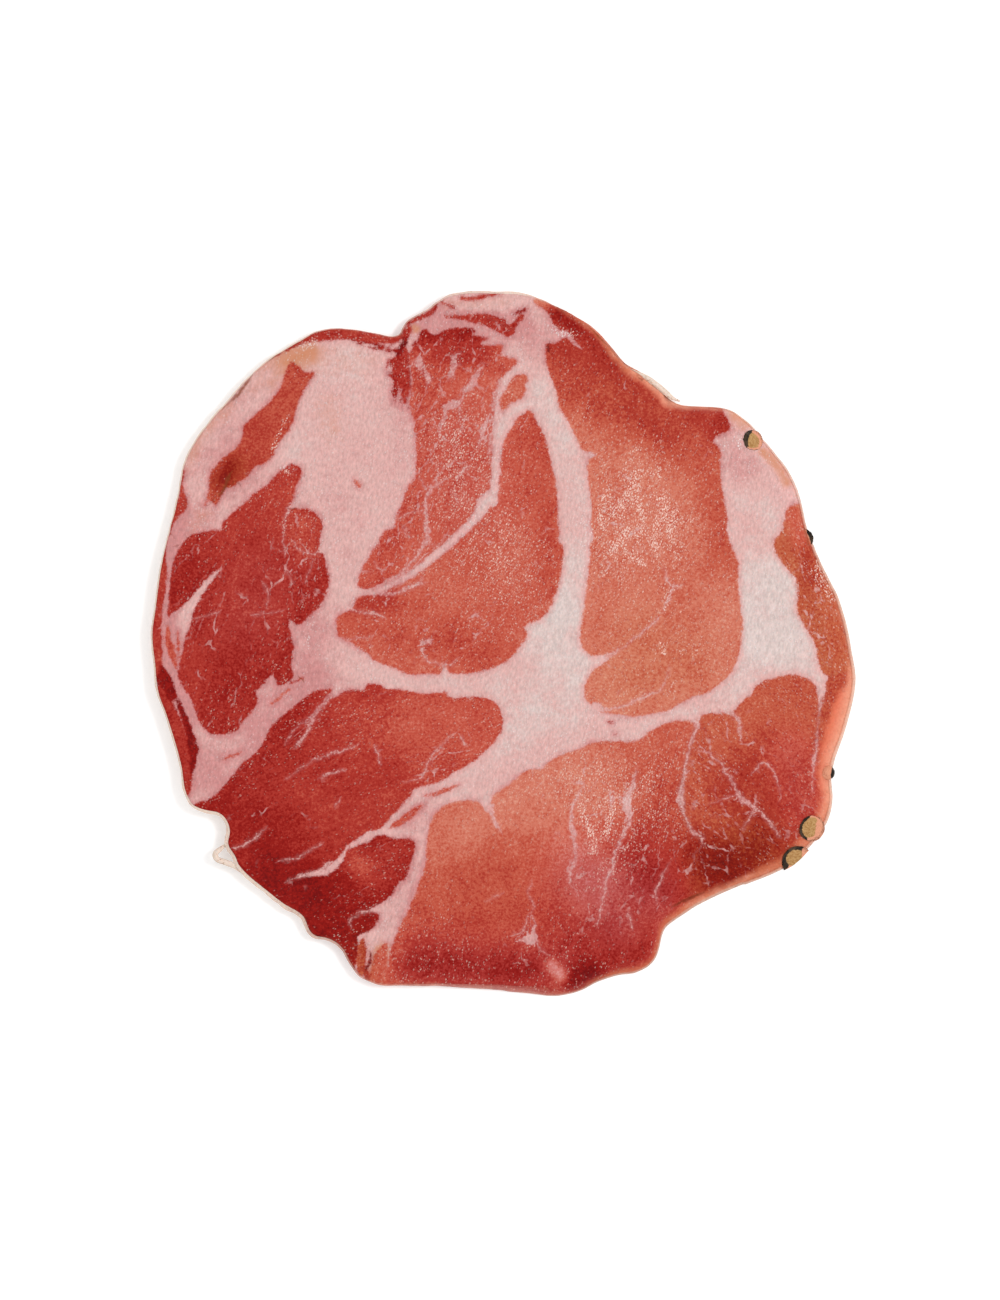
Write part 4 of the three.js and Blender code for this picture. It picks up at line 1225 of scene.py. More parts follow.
def build_lean_colour(name):
    """Lean meat from pale salmon to wine, by how deeply it is cured, with its fibre grain."""
    stops = {
        "Palest": (0.6, 0.2, 0.15, 1.0),
        "Pale": (0.5, 0.13, 0.09, 1.0),
        "Coral": (0.45, 0.08, 0.05, 1.0),
        "Red": (0.38, 0.05, 0.03, 1.0),
        "Dark": (0.25, 0.02, 0.015, 1.0),
        "Wine": (0.15, 0.01, 0.01, 1.0),
        "Brown": (0.82, 1.34, 0.62, 1.0),
    }
    sockets = {"Cure": 0.4, "Warm": 0.0, "Place": "vector", "Fibre": 0.0, **stops}
    nodes, given, out = new_group(
        name, sockets, {"Color": "NodeSocketColor", "Grain": "NodeSocketFloat"}
    )
    fine = nodes.grain(given["Place"], 2.6, 2, 0.7)
    clumps = nodes.grain(given["Place"], 1.3, 2)
    drift = nodes.grain(given["Place"], 0.22, 2)
    drawn = along_fibres(nodes, given["Place"], given["Fibre"], 0.22)
    streaks = nodes.grain(drawn, 1.1, 2)
    shade = nodes.times(fine, -0.68)
    shade = nodes.plus(shade, nodes.times(clumps, -0.12))
    shade = nodes.plus(shade, nodes.times(streaks, -0.2))
    shade = nodes.plus(shade, nodes.times(drift, 0.24))
    cure = nodes.plus(given["Cure"], shade)
    made = given["Palest"]
    names = ["Pale", "Coral", "Red", "Dark", "Wine"]
    for k, stop in enumerate(names):
        made = nodes.mix(nodes.rise(cure, 0.2 * k, 0.2 * k + 0.2), made, given[stop])
    brown = nodes.larger(given["Warm"], 0.0)
    made = nodes.mix(brown, made, nodes.mix(1.0, made, given["Brown"], "MULTIPLY"))
    rose = nodes.larger(nodes.times(given["Warm"], -0.6), 0.0)
    made = nodes.mix(rose, made, nodes.mix(1.0, made, (0.86, 1.1, 1.9, 1.0), "MULTIPLY"))
    nodes.feed(out["Color"], made)
    nodes.feed(out["Grain"], fine)
    return nodes.tree


def build_fat_colour(name):
    """Fat from pale to rose, with amber places and a fine curdled mottle."""
    nodes, given, out = new_group(
        name,
        {
            "Flush": 0.4,
            "Amber": 0.0,
            "Place": "vector",
            "Pale": (0.7, 0.6, 0.58, 1.0),
            "Blush": (0.7, 0.5, 0.48, 1.0),
            "Rose": (0.6, 0.3, 0.3, 1.0),
            "Amber colour": (0.6, 0.33, 0.2, 1.0),
        },
        {"Color": "NodeSocketColor", "Grain": "NodeSocketFloat"},
    )
    fine = nodes.grain(given["Place"], 3.2, 2)
    curds = nodes.grain(given["Place"], 0.8, 2)
    drift = nodes.grain(given["Place"], 0.16, 2)
    shade = nodes.times(fine, 0.3)
    shade = nodes.plus(shade, nodes.times(curds, 0.35))
    shade = nodes.plus(shade, nodes.times(drift, 0.8))
    flush = nodes.plus(given["Flush"], shade)
    made = nodes.mix(nodes.rise(flush, -0.05, 0.5), given["Pale"], given["Blush"])
    made = nodes.mix(nodes.rise(flush, 0.45, 1.05), made, given["Rose"])
    dashes = nodes.grain(along_fibres(nodes, given["Place"], 1.45, 0.5), 2.6, 2, 0.6)
    made = nodes.scaled(made, nodes.times_plus(dashes, 0.75, 1.0))
    amber = nodes.plus(given["Amber"], nodes.times(curds, 0.5))
    made = nodes.mix(nodes.rise(amber, 0.1, 1.0), made, given["Amber colour"])
    nodes.feed(out["Color"], made)
    nodes.feed(out["Grain"], fine)
    return nodes.tree


def build_wet_glints(name):
    """Fine bright specks where the cut is wet: the mask by which they are painted in as highlights and
    made glossy, and their height.
    """
    nodes, given, out = new_group(
        name,
        {"Wet": 0.5, "Glint": 0.0, "Fibre": 0.0, "Place": "vector"},
        {"Mask": "NodeSocketFloat", "Height": "NodeSocketFloat"},
    )
    drawn = along_fibres(nodes, given["Place"], given["Fibre"], 0.6)
    patches = nodes.grain(drawn, 0.5, 4, 0.7)
    spread = nodes.times_plus(given["Wet"], 1.7, 0.4)
    wet = nodes.times_plus(patches, spread, given["Wet"])
    damp = nodes.times_plus(given["Glint"], 0.7, wet)

    def dots(scale, size, most):
        """Separate dots, of which a share shows that grows with the damp."""
        cells = nodes.add(
            "ShaderNodeTexVoronoi", {"Vector": drawn, "Scale": scale}, voronoi_dimensions="2D"
        ).outputs
        chance = nodes.add("ShaderNodeSeparateColor", {"Color": cells["Color"]}).outputs
        share = nodes.rise(damp, 0.05, 1.3, 0.025, most)
        shown = nodes.rise(nodes.minus(share, chance["Red"]), -0.02, 0.02)
        reach = nodes.times_plus(chance["Green"], size, 0.6 * size)
        dot = nodes.rise(nodes.minus(reach, cells["Distance"]), -0.06, 0.08)
        strength = nodes.times_plus(nodes.math("POWER", chance["Blue"], 2.0), 0.85, 0.3)
        return nodes.times(nodes.times(dot, shown), strength)

    specks = dots(2.6, 0.21, 0.66)
    mask = nodes.larger(specks, dots(4.3, 0.33, 0.95))
    # How brightly the specks are painted in as highlights: more where wet and along the glint streaks.
    bright = nodes.larger(nodes.times_plus(wet, 0.96, 0.03), 0.06)
    bright = nodes.times_plus(given["Glint"], 0.9, bright)
    nodes.feed(out["Mask"], nodes.smaller(nodes.times(mask, bright), 1.0))
    nodes.feed(out["Height"], nodes.plus(specks, nodes.times(mask, 0.4)))
    return nodes.tree


def place_in_mm(nodes):
    """Object coordinates counted in millimetres."""
    here = nodes.add("ShaderNodeTexCoord").outputs["Object"]
    scale = (1 / MM, 1 / MM, 1 / MM)
    return nodes.add("ShaderNodeMapping", {"Vector": here, "Scale": scale}).outputs["Vector"]


def meat_colour(nodes, place, look):
    """The painted meat: its colour with the wet specks painted in as highlights, the share of those
    specks and the fine relief.
    """
    fibre = nodes.attribute("fibre")
    edge = nodes.group(
        kept_group("Broken edge", build_broken_edge),
        distance=nodes.attribute("lean"), place=place, fray=0.5, softness=0.21,
    )
    vein = nodes.group(
        kept_group("Fine stroke", build_fine_stroke),
        side=nodes.attribute("vein_side"), far=nodes.attribute("vein_far"),
        half_width=nodes.attribute("vein_half"), place=place, softness=0.12, fray=0.25,
        haze=0.2, grain=1.0, sway=1.5,
    )["Mask"]
    web = nodes.group(
        kept_group("Fine web", build_fine_web), place=place, fibre=fibre, amount=nodes.attribute("web")
    )["Mask"]
    veined = nodes.larger(nodes.times(vein, 0.92), nodes.times(web, 0.75))
    lean_share = nodes.times(edge["Mask"], nodes.minus(1.0, veined))
    lean = nodes.group(
        kept_group("Lean colour", build_lean_colour),
        cure=nodes.attribute("cure"), warm=nodes.attribute("warm"), place=place, fibre=fibre,
        palest=colour(look.lean_palest), pale=colour(look.lean_pale), coral=colour(look.lean_coral),
        red=colour(look.lean_red), dark=colour(look.lean_dark), wine=colour(look.lean_wine),
    )
    near_lean = nodes.rise(edge["Frayed"], -1.1, 0.2, 0.0, 0.4)
    near_lean = nodes.times_plus(veined, -0.16, near_lean)
    fat = nodes.group(
        kept_group("Fat colour", build_fat_colour),
        flush=nodes.plus(nodes.attribute("flush"), near_lean), amber=nodes.attribute("amber"),
        place=place, pale=colour(look.fat_pale), blush=colour(look.fat_blush),
        rose=colour(look.fat_rose), amber_colour=colour(look.fat_amber),
    )
    specks = kept_group("Painted wet glints", build_wet_glints)
    moist = {"wet": nodes.attribute("wet"), "glint": nodes.attribute("glint"), "place": place}
    on_lean = nodes.group(specks, fibre=fibre, **moist)
    on_fat = nodes.group(specks, fibre=1.2, **moist)
    glint_share = nodes.blend(lean_share, nodes.times(on_fat["Mask"], 0.7), on_lean["Mask"])
    made = nodes.mix(lean_share, fat["Color"], lean["Color"])
    # Painted highlights: where the wet specks lie, the colour is mixed towards near-white.
    made = nodes.mix(glint_share, made, nodes.mix(lean_share, colour(look.speck_fat_highlight), colour(look.speck_highlight)))
    relief = nodes.blend(lean_share, nodes.times(on_fat["Height"], 0.45), on_lean["Height"])
    return made, glint_share, relief


def over_the_wall(nodes, place, made, look):
    """The meat tinted by the skin where the wall shows from above, and the dark lines over both, partly
    painted shade in cracks and pits.
    """
    edge = nodes.attribute("edge")
    band = nodes.minus(nodes.attribute("band"), edge)
    band = nodes.plus(band, nodes.times(nodes.grain(place, 0.45, 3), 1.3))
    outer = nodes.times(nodes.rise(band, -0.6, 0.9), nodes.attribute("cover"))
    pink = nodes.mix(nodes.rise(edge, 3.0, 0.2), colour(look.rim_red), colour(look.rim_pink))
    orange = nodes.plus(nodes.attribute("orange"), nodes.grain(place, 0.6, 3))
    skin = nodes.mix(nodes.rise(orange, 0.1, 0.9), pink, colour(look.rim_orange))
    fibres = nodes.times_plus(nodes.grain(place, 2.6, 2), 0.5, 1.0)
    made = nodes.mix(nodes.times(outer, fibres), made, skin)
    mark_and_shade = nodes.group(
        kept_group("Fine stroke", build_fine_stroke),
        side=nodes.attribute("mark_side"), far=nodes.attribute("mark_far"),
        half_width=nodes.attribute("mark_half"), place=place, softness=0.2, fray=0.25,
    )["Mask"]
    # The dark lines stand partly for darker meat and partly for painted shade in cracks and pits.
    dark = nodes.mix(nodes.attribute("mark_brown"), colour(look.crack_wine_and_shade), colour(look.crack_brown_and_shade))
    return nodes.mix(nodes.times(mark_and_shade, 0.8), made, dark)


def new_material(name):
    """A material with an empty tree, its nodes, and the place in millimetres."""
    material = bpy.data.materials.new(name)
    material.use_nodes = True
    material.node_tree.nodes.clear()
    nodes = Nodes(material.node_tree)
    return material, nodes, place_in_mm(nodes)


def finish_material(nodes, height, strength, depth, values):
    """The relief, the shader and the output."""
    bump = nodes.add("ShaderNodeBump", {"Height": height, "Strength": strength, "Distance": depth})
    values["Normal"] = bump.outputs["Normal"]
    shader = nodes.add("ShaderNodeBsdfPrincipled", values)
    nodes.add("ShaderNodeOutputMaterial", {"Surface": shader.outputs["BSDF"]})


def meat_material(look):
    """The cut face: wet specks shine through their gloss and through highlights painted into the base
    colour, dried lean is duller.
    """
    material, nodes, place = new_material("Cured meat")
    made, glint_share, height = meat_colour(nodes, place, look)
    made = over_the_wall(nodes, place, made, look)
    finish_material(nodes, height, look.grain_depth, 0.00035, {
        "Base Color": made, "Roughness": nodes.rise(glint_share, 0.0, 0.8, 0.5, 0.3),
        "Specular IOR Level": 0.06, "Coat Weight": nodes.times(glint_share, 0.8),
        "Coat Roughness": 0.2, "Coat IOR": 1.36, "Subsurface Weight": 0.1,
        "Subsurface Radius": (1.0, 0.35, 0.25), "Subsurface Scale": 0.0006,
    })
    return material


def casing_material(meat_look, look):
    """Dried casing: the meat under it shows through, its cut edge and its creases are cream."""
    material, nodes, place = new_material("Casing")
    made = over_the_wall(nodes, place, meat_colour(nodes, place, meat_look)[0], meat_look)
    creases = nodes.plus(nodes.grain(place, 0.9, 4, 0.6), nodes.grain(place, 3.0, 2))
    upright = nodes.rise(nodes.attribute("band"), 0.62, 0.2)
    foot = nodes.times(nodes.rise(nodes.attribute("wall"), 0.7, 1.0), 0.75)
    cream = nodes.larger(upright, foot)
    cream = nodes.times(cream, nodes.rise(creases, -0.5, 0.1, 0.55, 1.0))
    made = nodes.mix(cream, made, colour(look.skin_cream))
    made = nodes.mix(nodes.rise(creases, 0.14, 0.4, 0.0, 0.45), made, colour(look.skin_tan))
    finish_material(nodes, creases, 0.5, 0.0004, {
        "Base Color": made, "Roughness": 0.44, "Specular IOR Level": 0.12, "Subsurface Weight": 0.15,
        "Subsurface Radius": (1.0, 0.5, 0.35), "Subsurface Scale": 0.0008,
    })
    return material


def strip_material(look):
    """The loose strips of casing: cream skin with tan creases."""
    material, nodes, place = new_material("Loose casing")
    creases = nodes.plus(nodes.grain(place, 1.2, 4, 0.6), nodes.grain(place, 4.0, 2))
    made = nodes.mix(nodes.rise(creases, 0.0, 0.4), colour(look.skin_cream), colour(look.skin_tan))
    finish_material(nodes, creases, 0.5, 0.0003, {
        "Base Color": made, "Roughness": 0.5, "Subsurface Weight": 0.2,
        "Subsurface Radius": (1.0, 0.6, 0.4), "Subsurface Scale": 0.0006,
    })
    return material


def peppercorn_material(look):
    """A dark wrinkled shell round a tan heart that the knife has opened."""
    material, nodes, place = new_material("Peppercorn")
    fine = nodes.grain(place, 3.0, 3)
    wide = nodes.grain(place, 0.9, 2)
    shell = nodes.mix(nodes.rise(wide, -0.15, 0.2), colour(look.shell_black), colour(look.shell_brown))
    heart = nodes.mix(nodes.rise(fine, -0.2, 0.2), colour(look.heart_tan), colour(look.heart_pale))
    depth = nodes.plus(nodes.attribute("heart"), nodes.times(fine, 0.3))
    made = nodes.mix(nodes.rise(depth, -0.04, 0.08), shell, heart)
    over = nodes.plus(nodes.attribute("skinned"), nodes.times(wide, 1.5))
    over = nodes.rise(over, 0.3, 0.6)
    made = nodes.mix(over, made, colour(look.skin))
    finish_material(nodes, nodes.plus(fine, wide), 0.7, 0.0004, {
        "Base Color": made, "Roughness": nodes.rise(depth, -0.1, 0.1, 0.5, 0.75),
        "Specular IOR Level": 0.08,
    })
    return material


# Geometry Nodes


def node_tree_with_inputs(name, numbers):
    """A Geometry Nodes tree with a geometry in and out and named number inputs."""
    tree = bpy.data.node_groups.new(name, "GeometryNodeTree")
    tree.interface.new_socket("Geometry", in_out="INPUT", socket_type="NodeSocketGeometry")
    for label, default in numbers.items():
        kind = "NodeSocketInt" if isinstance(default, int) else "NodeSocketFloat"
        tree.interface.new_socket(label, in_out="INPUT", socket_type=kind).default_value = default
    tree.interface.new_socket("Geometry", in_out="OUTPUT", socket_type="NodeSocketGeometry")
    nodes = Nodes(tree)
    return nodes, nodes.add("NodeGroupInput").outputs, nodes.add("NodeGroupOutput").inputs


def made_plain(source, tree, name, sizes):
    """A new object with the plain mesh that the tree makes from the source, which is removed."""
    modifier = source.modifiers.new(name, "NODES")
    modifier.node_group = tree
    identifiers = {s.name: s.identifier for s in tree.interface.items_tree if s.in_out == "INPUT"}
    for label, value in sizes.items():
        modifier[identifiers[label]] = value
    bpy.context.view_layer.update()
    depsgraph = bpy.context.evaluated_depsgraph_get()
    mesh = bpy.data.meshes.new_from_object(
        source.evaluated_get(depsgraph), preserve_all_data_layers=True, depsgraph=depsgraph
    )
    mesh.name = name
    source.modifiers.remove(modifier)
    bpy.data.objects.remove(source)
    if not len(mesh.polygons):
        raise RuntimeError(name + " came out empty")
    return add_object(name, mesh)


def finish_tree(nodes, geometry, out, material):
    """Every tree ends in Realize Instances and Set Material."""
    plain = nodes.add("GeometryNodeRealizeInstances", {"Geometry": geometry}).outputs["Geometry"]
    painted = nodes.add("GeometryNodeSetMaterial", {"Geometry": plain})
    painted.inputs["Material"].default_value = material
    nodes.feed(out["Geometry"], painted.outputs["Geometry"])
    return nodes.tree


def casing_tree(material):
    """Lifts the faces marked as rind off the slice as a thin closed shell with creases."""
    nodes, given, out = node_tree_with_inputs(
        "Casing on the rim",
        {"Thickness": 0.0002, "Sink": 0.00012, "Thinnest": 0.00002, "Crease depth": 0.0001,
         "Crease length": 0.002, "Board": 0.00002, "Seed": 3},
    )
    rind = nodes.add("GeometryNodeInputNamedAttribute", {"Name": "rind"}, data_type="BOOLEAN")
    kept = nodes.add(
        "GeometryNodeSeparateGeometry",
        {"Geometry": given["Geometry"], "Selection": rind.outputs["Attribute"]},
        domain="FACE",
    ).outputs["Selection"]
    normal = nodes.add("GeometryNodeInputNormal").outputs["Normal"]
    inwards = nodes.scaled(normal, nodes.times(given["Sink"], -1.0))
    kept = nodes.add("GeometryNodeSetPosition", {"Geometry": kept, "Offset": inwards})
    kept = kept.outputs["Geometry"]
    here = nodes.add("GeometryNodeInputPosition").outputs["Position"]
    scale = nodes.math("DIVIDE", 1.0, given["Crease length"])
    folds = nodes.add(
        "ShaderNodeTexNoise",
        {"Vector": here, "W": given["Seed"], "Scale": scale, "Detail": 3.0},
        noise_dimensions="4D",
    ).outputs["Fac"]
    lift = nodes.times(nodes.minus(folds, 0.5), given["Crease depth"])
    share = nodes.add("GeometryNodeInputNamedAttribute", {"Name": "thick"}, data_type="FLOAT")
    share = share.outputs["Attribute"]
    thickness = nodes.plus(given["Thickness"], nodes.times(lift, 2.0))
    thickness = nodes.times(thickness, share)
    there = nodes.smaller(nodes.times(share, 6.0), 1.0)
    buried = nodes.times(there, given["Sink"])
    thickness = nodes.plus(thickness, buried)
    thickness = nodes.larger(thickness, given["Thinnest"])
    extruded = nodes.add(
        "GeometryNodeExtrudeMesh",
        {"Mesh": kept, "Offset Scale": thickness, "Individual": False},
        mode="FACES",
    )
    edges = {"Geometry": extruded.outputs["Mesh"], "Selection": extruded.outputs["Side"]}
    edged = nodes.add("GeometryNodeSetShadeSmooth", {**edges, "Shade Smooth": False})
    inner = nodes.add("GeometryNodeFlipFaces", {"Mesh": kept}).outputs["Mesh"]
    joined = nodes.add("GeometryNodeJoinGeometry")
    nodes.tree.links.new(inner, joined.inputs[0])
    nodes.tree.links.new(edged.outputs["Geometry"], joined.inputs[0])
    closed = nodes.add(
        "GeometryNodeMergeByDistance", {"Geometry": joined.outputs["Geometry"], "Distance": 0.000001}
    ).outputs["Geometry"]
    split = nodes.add("ShaderNodeSeparateXYZ", {"Vector": here}).outputs
    height = nodes.larger(split["Z"], given["Board"])
    level = nodes.add("ShaderNodeCombineXYZ", {"X": split["X"], "Y": split["Y"], "Z": height})
    lying = nodes.add(
        "GeometryNodeSetPosition", {"Geometry": closed, "Position": level.outputs["Vector"]}
    ).outputs["Geometry"]
    return finish_tree(nodes, lying, out, material)


def ribbon_tree(material):
    """Sweeps a thin upright strip along a path."""
    nodes, given, out = node_tree_with_inputs(
        "Casing ribbon",
        {"Width": 0.0015, "Thickness": 0.0002, "Step": 0.0002, "Wander": 0.0002, "Seed": 5},
    )
    curve = nodes.add("GeometryNodeMeshToCurve", {"Mesh": given["Geometry"]}).outputs["Curve"]
    even = nodes.add("GeometryNodeResampleCurve", {"Curve": curve}, mode="LENGTH")
    nodes.feed(even.inputs["Length"], given["Step"])
    level = nodes.add("GeometryNodeSetCurveNormal", {"Curve": even.outputs["Curve"]}, mode="Z_UP")
    here = nodes.add("GeometryNodeInputPosition").outputs["Position"]
    wander = nodes.add(
        "ShaderNodeTexNoise",
        {"Vector": here, "W": given["Seed"], "Scale": 700.0},
        noise_dimensions="4D",
    ).outputs["Color"]
    moved = nodes.scaled(nodes.vector("SUBTRACT", wander, (0.5, 0.5, 0.5)), given["Wander"])
    bent = nodes.add(
        "GeometryNodeSetPosition", {"Geometry": level.outputs["Curve"], "Offset": moved}
    ).outputs["Geometry"]
    section = nodes.add("GeometryNodeCurvePrimitiveQuadrilateral")
    nodes.feed(section.inputs["Width"], given["Thickness"])
    nodes.feed(section.inputs["Height"], given["Width"])
    along = nodes.add("GeometryNodeSplineParameter").outputs["Factor"]
    to_end = nodes.smaller(along, nodes.minus(1.0, along))
    taper = nodes.rise(to_end, 0.0, 0.3, 0.35, 1.0)
    strip = nodes.add(
        "GeometryNodeCurveToMesh",
        {"Curve": bent, "Profile Curve": section.outputs["Curve"], "Fill Caps": True, "Scale": taper},
    ).outputs["Mesh"]
    return finish_tree(nodes, strip, out, material)


# Peppercorns


def cut_surface(rim, xy, top):
    """How high the slice's surface is at points in millimetres, down its slanting wall to the board."""
    angle = np.arctan2(xy[:, 1], xy[:, 0])
    radius = np.hypot(xy[:, 0], xy[:, 1])
    _, upper, lower = rim.at(angle)
    down = np.clip((radius - upper) / np.maximum(lower - upper, 0.3), 0, 1)
    return top - down * (top - underside(xy[:, 0], xy[:, 1]))


def pressed(value, limit, give):
    """The value, held at the limit with a little give, so that no two points fall together."""
    over = np.maximum(value - limit, 0)
    return np.minimum(value, limit) + give * over / (over + give)


def peppercorn_mesh(rim, place, radius, proud, towards, shell_width, skin_from, foot, wrinkle):
    """A wrinkled ball that the two cuts of the knife have opened."""
    place = np.array(place)
    ball = bmesh.new()
    bmesh.ops.create_icosphere(ball, subdivisions=5, radius=1.0)
    unit = np.array([v.co for v in ball.verts])
    ridges = np.array([1 - 2 * abs(noise.noise(Vector(p) * 3.1 + Vector(place))) for p in unit])
    shell = radius * (1 - wrinkle * (1 - ridges))
    points = unit * shell[:, None] + place
    angle = np.arctan2(points[:, 1], points[:, 0])
    most = rim.at(angle)[0] + (PAST_RIM_COVERED if foot > COVERED_FROM else PAST_RIM)
    reach = np.hypot(points[:, 0], points[:, 1])
    points[:, :2] *= (pressed(reach, most, RIM_GIVE) / reach)[:, None]
    top = face_height(points[:, :2], marbling(points[:, :2]), 0.0)
    ceiling = np.maximum(foot, cut_surface(rim, points[:, :2], top) + proud)
    opened = points[:, 2] > ceiling
    points[:, 2] = pressed(points[:, 2], ceiling, CUT_GIVE)
    points[:, 2] = -pressed(-points[:, 2], -ABOVE_BOARD, CUT_GIVE)
    away = points - place
    side = math.cos(math.radians(towards)), math.sin(math.radians(towards))
    facing = (away[:, 0] * side[0] + away[:, 1] * side[1]) / radius
    depth = radius - np.linalg.norm(away, axis=1)
    shelled = smoothstep(0.0, 0.55, facing)
    heart = np.where(opened, depth - shell_width * shelled, -0.3)
    skinned = smoothstep(skin_from, skin_from + 0.5, -facing)
    skinned = np.maximum(skinned, np.where(opened & (depth < 0.3), 1 - shelled, 0))
    for vertex, co in zip(ball.verts, points * MM):
        vertex.co = co
    mesh = bpy.data.meshes.new("peppercorn")
    ball.to_mesh(mesh)
    ball.free()
    shade_and_paint(mesh, {"heart": heart, "skinned": skinned})
    return mesh


# Settings


def length_setting(name, description, default):
    """A property in metres."""
    return bpy.props.FloatProperty(
        name=name, description=description, default=default, min=0, unit="LENGTH", precision=5
    )


def colour_setting(name, description, default):
    """A colour property, as the shader takes it."""
    return bpy.props.FloatVectorProperty(
        name=name, description=description, default=default, size=3, min=0, max=1, subtype="COLOR"
    )


class CoppaMeatSettings(bpy.types.PropertyGroup):
    fat_height: length_setting("Fat height", "How far the fat stands above the dried lean", 0.00018)
    grain_depth: bpy.props.FloatProperty(
        name="Grain depth", description="Strength of the fine relief", default=0.55, min=0, max=1,
        subtype="FACTOR",
    )
    lean_palest: colour_setting("Palest lean", "Lean that is hardly cured", seen(228, 154, 138))
    lean_pale: colour_setting("Pale lean", "Salmon lean of the middle", seen(214, 122, 105))
    lean_coral: colour_setting("Coral lean", "Lean between salmon and red", seen(198, 90, 74))
    lean_red: colour_setting("Red lean", "Lean of the left side", seen(176, 60, 52))
    lean_dark: colour_setting("Dark lean", "Lean dried near the rim", seen(150, 38, 35))
    lean_wine: colour_setting("Wine lean", "The darkest lean", seen(120, 16, 20))
    fat_pale: colour_setting("Pale fat", "Fat with no flush", seen(221, 201, 196))
    fat_blush: colour_setting("Blushed fat", "Fat half flushed", seen(223, 176, 171))
    fat_rose: colour_setting("Rose fat", "Fat flushed by the lean beside it", seen(206, 142, 140))
    fat_amber: colour_setting("Amber fat", "Yellowed fat at the rim", seen(210, 142, 110))
    # Painted highlights: these near-white colours stand in for the light that the wet points reflect.
    speck_highlight: colour_setting("Painted wet glints", "Fine wet points on the lean", seen(252, 206, 192))
    speck_fat_highlight: colour_setting("Painted glints on fat", "Fine wet points on the fat", seen(253, 241, 238))
    # The cracks' dark colours are partly the darker meat and partly painted shade in the hollows.
    crack_wine_and_shade: colour_setting("Wine cracks", "Cracks in lean", (0.13, 0.005, 0.006))
    crack_brown_and_shade: colour_setting("Brown cracks", "Cracks in the rim", (0.2, 0.045, 0.012))
    rim_orange: colour_setting("Rim orange", "The outermost meat, orange part", seen(214, 122, 88))
    rim_red: colour_setting("Rim red", "Inner side of the wall", seen(230, 124, 96))
    rim_pink: colour_setting("Rim pink", "Outer side of the wall", seen(246, 176, 148))


class CoppaCasingSettings(bpy.types.PropertyGroup):
    thickness: length_setting("Thickness", "Thickness of the casing", 0.00022)
    crease_depth: length_setting("Crease depth", "Depth of the creases in the casing", 0.00016)
    crease_length: length_setting("Crease length", "Distance between creases", 0.0022)
    strip_thickness: length_setting("Strip thickness", "Thickness of the loose strips", 0.0009)
    skin_cream: colour_setting("Cream skin", "Casing seen edge on", seen(244, 222, 206))
    skin_tan: colour_setting("Tan creases", "Creases in the casing", seen(190, 150, 120))


class CoppaPeppercornSettings(bpy.types.PropertyGroup):
    wrinkle: bpy.props.FloatProperty(
        name="Wrinkle", description="Depth of the wrinkles as a share of the radius", default=0.07,
        min=0, max=0.2, subtype="FACTOR",
    )
    shell_black: colour_setting("Black shell", "Darkest part of the shell", (0.014, 0.01, 0.007))
    shell_brown: colour_setting("Brown shell", "Lighter part of the shell", (0.07, 0.042, 0.024))
    heart_tan: colour_setting("Tan heart", "Cut inside, darker part", seen(172, 126, 78))
    heart_pale: colour_setting("Pale heart", "Cut inside, lighter part", seen(202, 160, 110))
    skin: colour_setting("Skin over it", "Casing that still covers it", seen(232, 160, 130))


class CoppaStageSettings(bpy.types.PropertyGroup):
    floor_size: length_setting("Floor size", "Side of the floor", 4.0)
    floor_colour: colour_setting("Floor", "Colour of the floor", (0.93, 0.93, 0.93))
    floor_glow: bpy.props.FloatProperty(
        name="Floor glow", description="Light from under the floor, as on a light table",
        default=0.16, min=0,
    )
    key_power: bpy.props.FloatProperty(
        name="Key light", description="Power of the light at the right", default=3.2, min=0,
        unit="POWER",
    )
    sky_strength: bpy.props.FloatProperty(
        name="Sky", description="Strength of the even light all round", default=0.94, min=0
    )
    view_height: length_setting("View height", "Height of the frame that the camera takes in", 0.208)
    camera_height: length_setting("Camera height", "Camera above the slice", 1.6)


# Operators


def place_piece(piece):
    """Every piece belongs to the one body."""
    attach(piece, "root")


class CoppaCutFace(bpy.types.Operator):
    """Makes the slice with its marbled cut face"""

    bl_idname = "coppa.cut_face"
    bl_label = "Marbled slice"

    def execute(self, context):
        look = context.scene.coppa_meat
        rim = Rim(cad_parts["coppa_slice"])
        casing = context.scene.coppa_casing.thickness / MM
        piece = add_object("marbled_slice", slice_mesh(rim, look.fat_height / MM, casing))
        piece.data.materials.append(meat_material(look))
        place_piece(piece)
        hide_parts("coppa_slice")
        return {"FINISHED"}


class CoppaCasing(bpy.types.Operator):
    """Wraps the casing round the slice's wall and adds its loose strips"""

    bl_idname = "coppa.casing"
    bl_label = "Casing"

    def execute(self, context):
        look = context.scene.coppa_casing
        source = add_object("casing_source", bpy.data.objects["marbled_slice"].data.copy())
        tree = casing_tree(casing_material(context.scene.coppa_meat, look))
        sizes = {
            "Thickness": look.thickness,
            "Crease depth": look.crease_depth,
            "Crease length": look.crease_length,
        }
        place_piece(made_plain(source, tree, "casing", sizes))
        ribbons = ribbon_tree(strip_material(look))
        for name, (width, points) in CASING_STRIPS.items():
            path = smooth_path(points_of(points), steps=6)
            height = THICKNESS + underside(path[:, 0], path[:, 1]) - width / 2 - 0.5
            mesh = bpy.data.meshes.new(name + "_path")
            corners = (np.column_stack([path, height]) * MM).tolist()
            mesh.from_pydata(corners, [(k, k + 1) for k in range(len(corners) - 1)], [])
            sizes = {"Width": width * MM, "Thickness": look.strip_thickness}
            strip = made_plain(add_object(name + "_path", mesh), ribbons, name, sizes)
            place_piece(strip)
        return {"FINISHED"}


